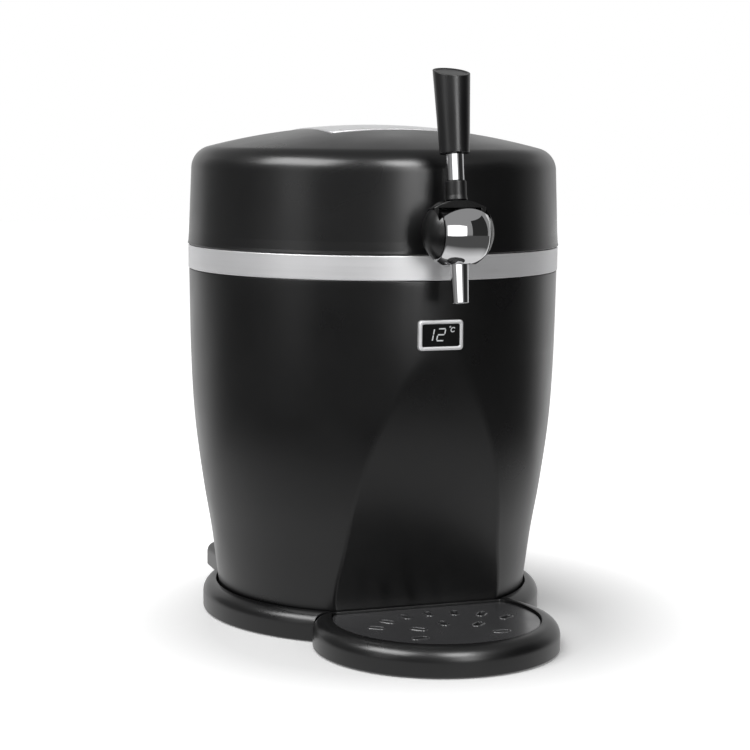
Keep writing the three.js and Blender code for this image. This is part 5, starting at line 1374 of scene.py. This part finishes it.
def make_tray():
    """Rings from the underside out, round the rim, down to the seat and into the basin."""
    low, top = TRAY.bottom, TRAY.top
    seat = PLATE.bottom - TOUCH

    def ring(radius, rear, height, corner):
        return [point(x, y, height) for x, y in tray_outline(radius, rear, corner)]

    rings = [
        ring(TRAY_RADIUS - 1, TRAY_REAR - 0.6, low, TRAY_CORNER - 0.6),
        ring(TRAY_RADIUS, TRAY_REAR, low + 1, TRAY_CORNER),
    ]
    for step in range(RIM_STEPS + 1):
        angle = math.pi / 2 * step / RIM_STEPS
        inwards = 1 - math.cos(angle)
        radius = TRAY_RADIUS - TRAY_EDGE * inwards
        height = top - TRAY_EDGE * (1 - math.sin(angle))
        rings.append(ring(radius, TRAY_REAR - inwards, height, TRAY_CORNER - 1.5 * inwards))
    # The seat's eased edge, its wall and ledge, and the basin
    corner = TRAY_CORNER - 3
    rings += [
        ring(SEAT_RADIUS + 0.6, SEAT_REAR + 0.5, top, corner + 0.5),
        ring(SEAT_RADIUS + 0.15, SEAT_REAR + 0.15, top - 0.2, corner + 0.1),
    ]
    for inset, height in (
        (0, top - 0.7), (0, seat), (LEDGE, seat),
        (LEDGE, low + 5), (LEDGE + 1, low + 3.4), (LEDGE + 2.5, low + 3),
    ):
        rings.append(ring(SEAT_RADIUS - inset, SEAT_REAR - inset, height, corner))
    finished(grown("tray", rings), "tray", "satin", "drip_tray")


def make_drip_plate():
    """The plate, and its slots with a rounded lip, modelled once and copied along two arcs."""

    def ring(inset, height):
        outline = tray_outline(PLATE.right - inset, PLATE.back - inset, TRAY_CORNER - 4)
        return [point(x, y, height) for x, y in outline]

    low, top = PLATE.bottom, PLATE.top
    levels = [(0.3, low), (0, low + 0.3), (0, top - 0.5), (0.15, top - 0.15), (0.5, top)]
    plate = grown("slotted_plate", [ring(*level) for level in levels])
    half = DRIP_SLOT_LENGTH / 2 - DRIP_SLOT_RADIUS
    slot = prism("drip_slot", long_slot(half, DRIP_SLOT_RADIUS, 12), 0, BEYOND)
    rings = []
    for spread, height in DRIP_LIP:
        outline = long_slot(half, DRIP_SLOT_RADIUS + spread, 12)
        rings.append([point(x, y, top + height) for x, y in outline])
    lip = grown("drip_lip", rings, closed=True)
    for radius, step, count in DRIP_ROWS:
        for number in range(count):
            turn = math.pi / 2 + step * (number - (count - 1) / 2)
            centre = (radius * math.cos(turn), DRIP_CENTRE_Y + radius * math.sin(turn), 0)
            carved(plate, placed(copied(slot, "slot"), centre, (0, 0, turn)))
            fused(plate, placed(copied(lip, "lip"), centre, (0, 0, turn)))
    discard(slot)
    discard(lip)
    finished(plate, "tray_plate", "plate", "drip_plate")


def make_rear_housing():
    """A tower on a wider heel, hollow, fitted round body and skirt, and cut for its controls."""
    near, far = TOWER_REACH - OVERRUN, TOWER_REACH + OVERRUN

    def storey(name, half, reach, corner, bevel, top):
        """Upright walls, a small bevel below and a rounded one above."""
        levels = [(HEEL_BOTTOM, bevel), (HEEL_BOTTOM + bevel, 0), (top - bevel, 0)]
        for step in range(1, 8):
            angle = math.pi / 2 * step / 7
            levels.append((top - bevel * (1 - math.sin(angle)), bevel * (1 - math.cos(angle))))
        rings = []
        for height, inset in levels:
            depth = reach / 2 - inset / 2
            bend = max(corner - inset, 1)
            outline = rounded_rectangle(half - inset, depth, bend, 12, 10, depth)
            rings.append([point(x, y, height) for x, y in outline])
        return grown(name, rings)

    def hollow(name, half, reach, top, edge):
        low = HEEL_BOTTOM + HOUSING_WALL
        wide, deep = half - HOUSING_WALL, reach - HOUSING_WALL
        return block(name, (-wide, 0, low), (wide, deep, top - HOUSING_WALL), edge)

    def opening(name, left, right, low, high):
        """Through the tower's rear wall."""
        return block(name, (left, near, low), (right, far, high))

    tower = (TOWER_HALF, TOWER_REACH, TOWER_CORNER, TOWER_BEVEL, TOWER_TOP)
    heel = (HEEL_HALF, HEEL_REACH, HEEL_CORNER, HEEL_BEVEL, HEEL_TOP)
    housing = fused(storey("rear_cover", *tower), storey("rear_heel", *heel))
    vent = (-COOLER_HALF, COOLER_HALF, GRILLE.bottom - TOUCH, GRILLE.top + TOUCH)
    low = BODY.bottom - OVERRUN
    rows = [mixed(SKIRT.top, BODY.top, i / ROOM_ROWS) for i in range(ROOM_ROWS + 1)]
    outline = [(0, low), (BODY_FOOT_RADIUS + TOUCH, low)]
    outline += [(body_radius(z) + TOUCH, z) for z in rows] + [(0, BODY.top)]
    carved(
        housing,
        hollow("housing_hollow", TOWER_HALF, TOWER_REACH, TOWER_TOP, 3),
        hollow("heel_hollow", HEEL_HALF, HEEL_REACH, HEEL_TOP, 5),
        turned("body_room", outline, MIDDLE_ROUND, closed=False),
        bar("skirt_room", SKIRT.right + TOUCH, -5, SKIRT.top + TOUCH, steps=MIDDLE_ROUND),
        opening("grille_room", *vent),
    )
    for node in ("power_inlet", "switch_frame"):
        span = Span(node)
        lap = FLANGE - TOUCH
        room = (span.left + lap, span.right - lap, span.bottom + lap, span.top - lap)
        carved(housing, opening(node + "_room", *room))
    for node in ("temperature_down_button", "temperature_up_button"):
        span = Span(node)
        hole = bar(node + "_room", BUTTON_HOLE, near, far, "Y")
        carved(housing, placed(hole, (span.x, 0, span.z)))
    eased(housing, 0.4, angle=50, segments=2)
    finished(housing, "housing", "satin", "rear_housing")


def make_grille():
    """A plate with long slots, modelled once and copied downwards."""
    low = (GRILLE.left, GRILLE.front, GRILLE.bottom)
    plate = block("grille", low, (GRILLE.right, GRILLE.back, GRILLE.top), 0.4)
    half = (GRILLE.top - GRILLE.bottom) / 2 - GRILLE_MARGIN
    outline = long_slot(half - GRILLE_SLOT_RADIUS, GRILLE_SLOT_RADIUS, 8)
    slot = placed(prism("grille_slot", outline, -5, 5), (0, GRILLE.y, 0), (math.pi / 2, 0, 0))
    pitch = 2 * half / GRILLE_SLOTS
    for number in range(GRILLE_SLOTS):
        z = GRILLE.z - half + pitch * (number + 0.5)
        carved(plate, placed(copied(slot, "slot"), (0, 0, z)))
    discard(slot)
    eased(plate, 0.35, angle=50, segments=2)
    finished(plate, "housing", "satin", "vent_grille")


# Add-on


class DispenserBody(bpy.types.PropertyGroup):
    """How softly the body's recess turns into it."""

    crease: bpy.props.FloatProperty(
        name="Recess crease", description="How softly the recess turns into the body",
        default=0.001, min=0.0002, max=0.006, subtype="DISTANCE", unit="LENGTH",
    )


class DispenserFinishes(bpy.types.PropertyGroup):
    """Colours and gloss."""

    black: bpy.props.FloatVectorProperty(
        name="Black", description="Colour of the moulded black plastic",
        default=(0.0045, 0.0045, 0.0048), size=3, min=0, max=1, subtype="COLOR",
    )
    satin: bpy.props.FloatProperty(
        name="Satin", description="Roughness of the black shells",
        default=0.31, min=0, max=1, subtype="FACTOR",
    )
    silver: bpy.props.FloatVectorProperty(
        name="Silver", description="Colour of the band, the plate and the display's frame",
        default=(0.74, 0.74, 0.75), size=3, min=0, max=1, subtype="COLOR",
    )
    silver_satin: bpy.props.FloatProperty(
        name="Silver satin", description="Roughness of the silver pieces",
        default=0.42, min=0, max=1, subtype="FACTOR",
    )
    chrome: bpy.props.FloatVectorProperty(
        name="Chrome", description="Colour of the bright plate",
        default=(0.72, 0.72, 0.73), size=3, min=0, max=1, subtype="COLOR",
    )
    drip_plate: bpy.props.FloatVectorProperty(
        name="Drip plate", description="Colour of the slotted plate",
        default=(0.05, 0.05, 0.052), size=3, min=0, max=1, subtype="COLOR",
    )


class DispenserStudio(bpy.types.PropertyGroup):
    """Camera and light."""

    azimuth: bpy.props.FloatProperty(
        name="Azimuth", description="Where the camera stands, from straight in front",
        default=math.radians(-20.05), subtype="ANGLE", unit="ROTATION",
    )
    distance: bpy.props.FloatProperty(
        name="Distance", description="From the dispenser's axis, along the table",
        default=1.4838, min=0.5, max=5, subtype="DISTANCE", unit="LENGTH",
    )
    height: bpy.props.FloatProperty(
        name="Height", description="Of the camera above the table",
        default=0.3603, min=0, max=2, subtype="DISTANCE", unit="LENGTH",
    )
    lens: bpy.props.FloatProperty(
        name="Lens", description="Focal length", default=95.2, min=20, max=300, unit="CAMERA",
    )
    light: bpy.props.FloatProperty(
        name="Light", description="Level of all the lamps", default=1.0, min=0, max=4,
    )
    fill: bpy.props.FloatProperty(
        name="Fill", description="Level of the light from all round", default=0.36, min=0, max=2,
    )
    floor_glow: bpy.props.FloatProperty(
        name="Floor glow", description="How far the floor beside the dispenser is raised to white",
        default=0.12, min=0, max=1, subtype="FACTOR",
    )


class DISPENSER_OT_stage(bpy.types.Operator):
    """Adds the floor, the lamps, the world and the camera"""

    bl_idname = "dispenser.stage"
    bl_label = "Stage"

    def execute(self, context):
        context.scene.view_settings.view_transform = "Standard"
        settings = context.scene.dispenser_studio
        make_camera(settings)
        make_world(settings)
        make_floor(settings)
        make_lamps(settings)
        for values in SCREENS:
            screen(*values)
        return {"FINISHED"}


class DISPENSER_OT_base(bpy.types.Operator):
    """Adds the skirt and the feet"""

    bl_idname = "dispenser.base"
    bl_label = "Skirt and feet"

    def execute(self, context):
        make_skirt()
        make_feet()
        return {"FINISHED"}


class DISPENSER_OT_body(bpy.types.Operator):
    """Adds the body shell with its recess"""

    bl_idname = "dispenser.body"
    bl_label = "Body"

    def execute(self, context):
        make_body(context.scene.dispenser_body)
        return {"FINISHED"}


class DISPENSER_OT_band(bpy.types.Operator):
    """Adds the silver band"""

    bl_idname = "dispenser.band"
    bl_label = "Band"

    def execute(self, context):
        make_band()
        return {"FINISHED"}


class DISPENSER_OT_lid(bpy.types.Operator):
    """Adds the lid and the plate in its crown"""

    bl_idname = "dispenser.lid"
    bl_label = "Lid and crown plate"

    def execute(self, context):
        make_lid()
        make_crown_plate()
        return {"FINISHED"}


class DISPENSER_OT_display(bpy.types.Operator):
    """Adds the display's frame, glass and digits"""

    bl_idname = "dispenser.display"
    bl_label = "Display"

    def execute(self, context):
        make_display()
        make_digits()
        return {"FINISHED"}


class DISPENSER_OT_tap(bpy.types.Operator):
    """Adds the tap's ball, neck and spout"""

    bl_idname = "dispenser.tap"
    bl_label = "Tap"

    def execute(self, context):
        make_ball()
        make_neck()
        make_spout()
        return {"FINISHED"}


class DISPENSER_OT_lever(bpy.types.Operator):
    """Adds the lever: yoke, sleeve, rod and grip"""

    bl_idname = "dispenser.lever"
    bl_label = "Lever"

    def execute(self, context):
        make_yoke()
        make_lever()
        return {"FINISHED"}


class DISPENSER_OT_tray(bpy.types.Operator):
    """Adds the drip tray and its slotted plate"""

    bl_idname = "dispenser.tray"
    bl_label = "Drip tray"

    def execute(self, context):
        make_tray()
        make_drip_plate()
        return {"FINISHED"}


class DISPENSER_OT_rear(bpy.types.Operator):
    """Adds the rear housing, the grille and the controls"""

    bl_idname = "dispenser.rear"
    bl_label = "Rear housing and controls"

    def execute(self, context):
        make_rear_housing()
        make_grille()
        for node in ("power_inlet", "switch_frame", "fan_frame", "hinge_bracket"):
            polished(node, "satin", 0.3)
        for node in ("power_rocker", "temperature_down_button", "temperature_up_button"):
            polished(node, "gloss", 0.35)
        polished("fan_rotor", "satin", 0.2)
        polished("hinge_leaf", "satin", 0.3)
        polished("hinge_pin", "steel", 0.3)
        return {"FINISHED"}


class DISPENSER_OT_inside(bpy.types.Operator):
    """Finishes the pieces under the lid and inside the body"""

    bl_idname = "dispenser.inside"
    bl_label = "Inside"

    def execute(self, context):
        for finish, edge, nodes in (
            ("grey", 0.4, ("bay_rim", "lid_liner")),
            ("aluminium", 0.3, ("bay_liner", "cartridge_sleeve")),
            ("rubber", 0.2, ("rim_gasket", "coupler_seal")),
            ("satin", 0.4, ("keg_coupler",)),
            ("gloss", 0.3, ("pressure_knob",)),
            ("brass", 0.3, ("gas_regulator", "shank_nut")),
            ("hose", 0.2, ("beer_line",)),
        ):
            for node in nodes:
                polished(node, finish, edge)
        dressed("satin", "base_plate")
        dressed("grey", "latch_guide")
        dressed("foam", "insulation_jacket", "lid_insulation")
        dressed("aluminium", "cold_block", "heat_sink")
        dressed("ceramic", "peltier_module")
        dressed("board", "control_board", "display_board")
        dressed("steel", "valve_spindle")
        spring = polished("plate_spring", "steel", 0)
        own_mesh(spring)
        return {"FINISHED"}


class DISPENSER_PT_panel(bpy.types.Panel):
    """Lists the dispenser's pieces in the sidebar."""

    bl_idname = "DISPENSER_PT_panel"
    bl_label = "Dispenser"
    bl_space_type = "VIEW_3D"
    bl_region_type = "UI"
    bl_category = "Dispenser"

    def draw(self, context):
        for operator in OPERATORS:
            self.layout.operator(operator.bl_idname)
        for group in GROUPS:
            settings = getattr(context.scene, group)
            for key in settings.__annotations__:
                self.layout.prop(settings, key)


OPERATORS = (
    DISPENSER_OT_stage,
    DISPENSER_OT_base,
    DISPENSER_OT_body,
    DISPENSER_OT_band,
    DISPENSER_OT_lid,
    DISPENSER_OT_display,
    DISPENSER_OT_tap,
    DISPENSER_OT_lever,
    DISPENSER_OT_tray,
    DISPENSER_OT_rear,
    DISPENSER_OT_inside,
)
GROUPS = {
    "dispenser_body": DispenserBody,
    "dispenser_finishes": DispenserFinishes,
    "dispenser_studio": DispenserStudio,
}


def register():
    for group, settings in GROUPS.items():
        bpy.utils.register_class(settings)
        setattr(bpy.types.Scene, group, bpy.props.PointerProperty(type=settings))
    for operator in OPERATORS:
        bpy.utils.register_class(operator)
    bpy.utils.register_class(DISPENSER_PT_panel)


def unregister():
    bpy.utils.unregister_class(DISPENSER_PT_panel)
    for operator in reversed(OPERATORS):
        bpy.utils.unregister_class(operator)
    for group, settings in GROUPS.items():
        delattr(bpy.types.Scene, group)
        bpy.utils.unregister_class(settings)


# Studio

# The camera's aim, in radians, beside its place
CAMERA_PITCH = 0.1242
CAMERA_PAN = -0.0015
CAMERA_ROLL = 0.0080

# World and floor: levels, and places and ranges of distance in metres. REARWARD is the heading that
# lies behind the dispenser, and its range is of the cosine of the angle from it
WORLD_MIRROR = 0.8
FLOOR_PAINT = 0.87
GLOW_CENTRE = (0, -0.07, 0)
GLOW_REACH = (0.14, 0.29)
FAR_GLOW = 0.75
MIRROR_CENTRE = (0, 0.12, 0)
MIRROR_REACH = (0.36, 0.62)
MIRROR_LEVELS = (0.8, 0.09)
REARWARD = (0.26, 0.965, 0)
REARWARD_RANGE = (0.25, 0.65)

# Names of the collections that say which lamps light the chrome
CHROME_ONLY = "chrome_only"
SHELLS_ONLY = "_but_chrome"

# Softboxes: azimuth, elevation, width and height in degrees, radiance, and what they light
LAMP_DISTANCE = 1.9
LAMPS = [
    ("key_softbox", -45, 48, 50, 50, 3.15, "matt"),
    ("high_left_softbox", -74, 43, 40, 26, 11, "shells"),
    ("low_left_softbox", -68, 13, 20, 40, 0.9, "shells"),
    ("high_front_softbox", 4, 43, 20, 22, 18, "shells"),
    ("low_front_softbox", 6, 15, 15, 38, 6.5, "shells"),
    ("broad_softbox", -27, 4, 68, 44, 1.6, "chrome"),
]

# Screens: level, azimuths and elevations in degrees, and distance in metres
SCREEN_STEPS = 24
SCREENS = [
    ("left_screen", 0.2, (-150, -95), (-40, 24), 2.6),
    ("front_screen", 0.22, (-95, 24), (-40, -4), 2.5),
    ("upper_front_screen", 0.32, (-95, 24), (-4, 24), 2.6),
    ("right_screen", 0.03, (24, 84), (-40, 34), 2.6),
    ("far_right_screen", 0.3, (84, 104), (-40, 34), 2.6),
    ("ceiling_screen", 0.33, (-180, 180), (24, 90), 2.7),
]


class StageNodes(Nodes):
    """The emptied node tree of the world or of a stage material."""

    def __init__(self, owner):
        owner.use_nodes = True
        super().__init__(owner.node_tree)
        self.tree.nodes.clear()

    def ray(self, kind):
        return self.node("ShaderNodeLightPath", output=f"Is {kind} Ray")

    def vector(self, operation, *places, output=0):
        inputs = dict(enumerate(places))
        return self.node("ShaderNodeVectorMath", {"operation": operation}, inputs, output)

    def background(self, strength):
        white = (1, 1, 1, 1)
        return self.node("ShaderNodeBackground", inputs={"Color": white, "Strength": strength})

    def emission(self, strength):
        return self.node("ShaderNodeEmission", inputs={"Strength": strength})

    def choice(self, share, first, second):
        return self.node("ShaderNodeMixShader", inputs={0: share, 1: first, 2: second})


def stage_material(piece):
    """Gives a stage piece a material of its own name, and returns its nodes."""
    paint = bpy.data.materials.new(piece.name)
    piece.data.materials.append(paint)
    return StageNodes(paint)


def direction(azimuth, elevation):
    """Degrees round from the front, towards +X, and up."""
    side, up = math.radians(azimuth), math.radians(elevation)
    return Vector((math.cos(up) * math.sin(side), -math.cos(up) * math.cos(side), math.sin(up)))


def lamp(name, azimuth, elevation, width, height, radiance, target, matt=False):
    """A softbox as seen from a target, facing it. Its size is in degrees.

    It lights either matt surfaces or the sheen of glossy ones.
    """
    away = direction(azimuth, elevation)
    settle()
    bpy.ops.object.light_add(type="AREA", location=point(*target) + away * LAMP_DISTANCE)
    light = bpy.context.object
    light.name = name
    light.data.name = name
    light.data.shape = "RECTANGLE"
    light.data.size = 2 * LAMP_DISTANCE * math.tan(math.radians(width / 2))
    light.data.size_y = 2 * LAMP_DISTANCE * math.tan(math.radians(height / 2))
    light.data.energy = radiance * math.pi * light.data.size * light.data.size_y
    light.rotation_euler = away.to_track_quat("Z", "Y").to_euler()
    light.visible_glossy = not matt
    light.visible_diffuse = matt
    return light


def screen(name, shade, azimuths, elevations, distance):
    """A dark screen that only reflections see: part of a sphere round the tap's height."""
    steps = {"x_subdivisions": SCREEN_STEPS, "y_subdivisions": SCREEN_STEPS}
    piece = start(name, bpy.ops.mesh.primitive_grid_add, size=2, **steps)
    for vert in piece.data.vertices:
        azimuth = mixed(*azimuths, (vert.co.x + 1) / 2)
        elevation = mixed(*elevations, (vert.co.y + 1) / 2)
        vert.co = direction(azimuth, elevation) * distance + point(0, 0, TAP_CENTRE[2])
    nodes = stage_material(piece)
    nodes.node("ShaderNodeOutputMaterial", inputs={"Surface": nodes.emission(shade)})
    piece.visible_camera = False
    piece.visible_diffuse = False
    piece.visible_shadow = False


def make_camera(settings):
    azimuth = settings.azimuth
    heading = azimuth + CAMERA_PAN
    forward = Vector((
        -math.sin(heading) * math.cos(CAMERA_PITCH),
        math.cos(heading) * math.cos(CAMERA_PITCH),
        -math.sin(CAMERA_PITCH),
    ))
    level = Vector((math.cos(heading), math.sin(heading), 0))
    above = level.cross(forward)
    right = level * math.cos(CAMERA_ROLL) + above * math.sin(CAMERA_ROLL)
    up = above * math.cos(CAMERA_ROLL) - level * math.sin(CAMERA_ROLL)
    place = Vector((
        math.sin(azimuth) * settings.distance,
        -math.cos(azimuth) * settings.distance,
        settings.height,
    ))
    turn = Matrix((right, up, -forward)).transposed().to_4x4()
    settle()
    bpy.ops.object.camera_add()
    camera = bpy.context.object
    camera.name = "camera"
    camera.matrix_world = Matrix.Translation(place) @ turn
    camera.data.lens = settings.lens
    camera.data.sensor_width = 36
    camera.data.clip_end = 50
    bpy.context.scene.camera = camera


def make_world(settings):
    """White where it is seen, nearly so where it is mirrored, and calmer as a light."""
    world = bpy.data.worlds.new("studio")
    bpy.context.scene.world = world
    nodes = StageNodes(world)
    seen = nodes.maths("MAXIMUM", nodes.ray("Camera"), nodes.ray("Transmission"))
    fill, white, mirror = map(nodes.background, (settings.fill, 1, WORLD_MIRROR))
    light = nodes.choice(nodes.ray("Glossy"), fill, mirror)
    nodes.node("ShaderNodeOutputWorld", inputs={"Surface": nodes.choice(seen, light, white)})


def make_floor(settings):
    """Pale, with its shadows kept near the dispenser and white far out.

    In reflections it is dimmer far out, but not behind the dispenser.
    """
    floor = start("floor", bpy.ops.mesh.primitive_plane_add, size=12, location=(0, 0, -0.0002))
    bpy.ops.object.transform_apply(location=True, rotation=True, scale=True)
    nodes = stage_material(floor)
    place = nodes.node("ShaderNodeTexCoord", output="Object")
    pale = (FLOOR_PAINT, FLOOR_PAINT, FLOOR_PAINT, 1)
    matt = nodes.node("ShaderNodeBsdfDiffuse", inputs={"Color": pale})
    away = nodes.vector("DISTANCE", place, GLOW_CENTRE, output="Value")
    glow = nodes.emission(nodes.ramp(away, *GLOW_REACH, settings.floor_glow, FAR_GLOW))
    lit = nodes.node("ShaderNodeAddShader", inputs={0: matt, 1: glow})
    away = nodes.vector("DISTANCE", place, MIRROR_CENTRE, output="Value")
    heading = nodes.vector("NORMALIZE", place)
    rearward = nodes.vector("DOT_PRODUCT", heading, REARWARD, output="Value")
    mirrored = nodes.emission(nodes.maths(
        "MAXIMUM",
        nodes.ramp(away, *MIRROR_REACH, *MIRROR_LEVELS),
        nodes.ramp(rearward, *REARWARD_RANGE, 0, 1),
    ))
    seen = nodes.choice(nodes.ray("Camera"), matt, lit)
    surface = nodes.choice(nodes.ray("Glossy"), seen, mirrored)
    nodes.node("ShaderNodeOutputMaterial", inputs={"Surface": surface})


def make_lamps(settings):
    """A key for matt surfaces, and lamps for the sheen of the shells and of the chrome."""
    shoulder = (0, 0, SHOULDER_Z)
    for name, azimuth, elevation, width, height, radiance, lights in LAMPS:
        target = TAP_CENTRE if lights == "chrome" else shoulder
        level = radiance * settings.light
        light = lamp(name, azimuth, elevation, width, height, level, target, lights == "matt")
        if lights == "shells":
            light.light_linking.receiver_collection = bpy.data.collections.new(name + SHELLS_ONLY)
        elif lights == "chrome":
            light.light_linking.receiver_collection = bpy.data.collections.new(CHROME_ONLY)


def lit_as_chrome(piece):
    """Only the broad softbox gives a chrome piece its sheen, and the shells' lamps leave it out."""
    for collection in bpy.data.collections:
        if collection.name == CHROME_ONLY:
            collection.objects.link(piece)
        elif collection.name.endswith(SHELLS_ONLY):
            collection.objects.link(piece)
            collection.collection_objects[-1].light_linking.link_state = "EXCLUDE"


def main():
    register()
    for operator in OPERATORS:
        group, name = operator.bl_idname.split(".")
        getattr(getattr(bpy.ops, group), name)()
    settle()


if __name__ == "__main__":
    main()
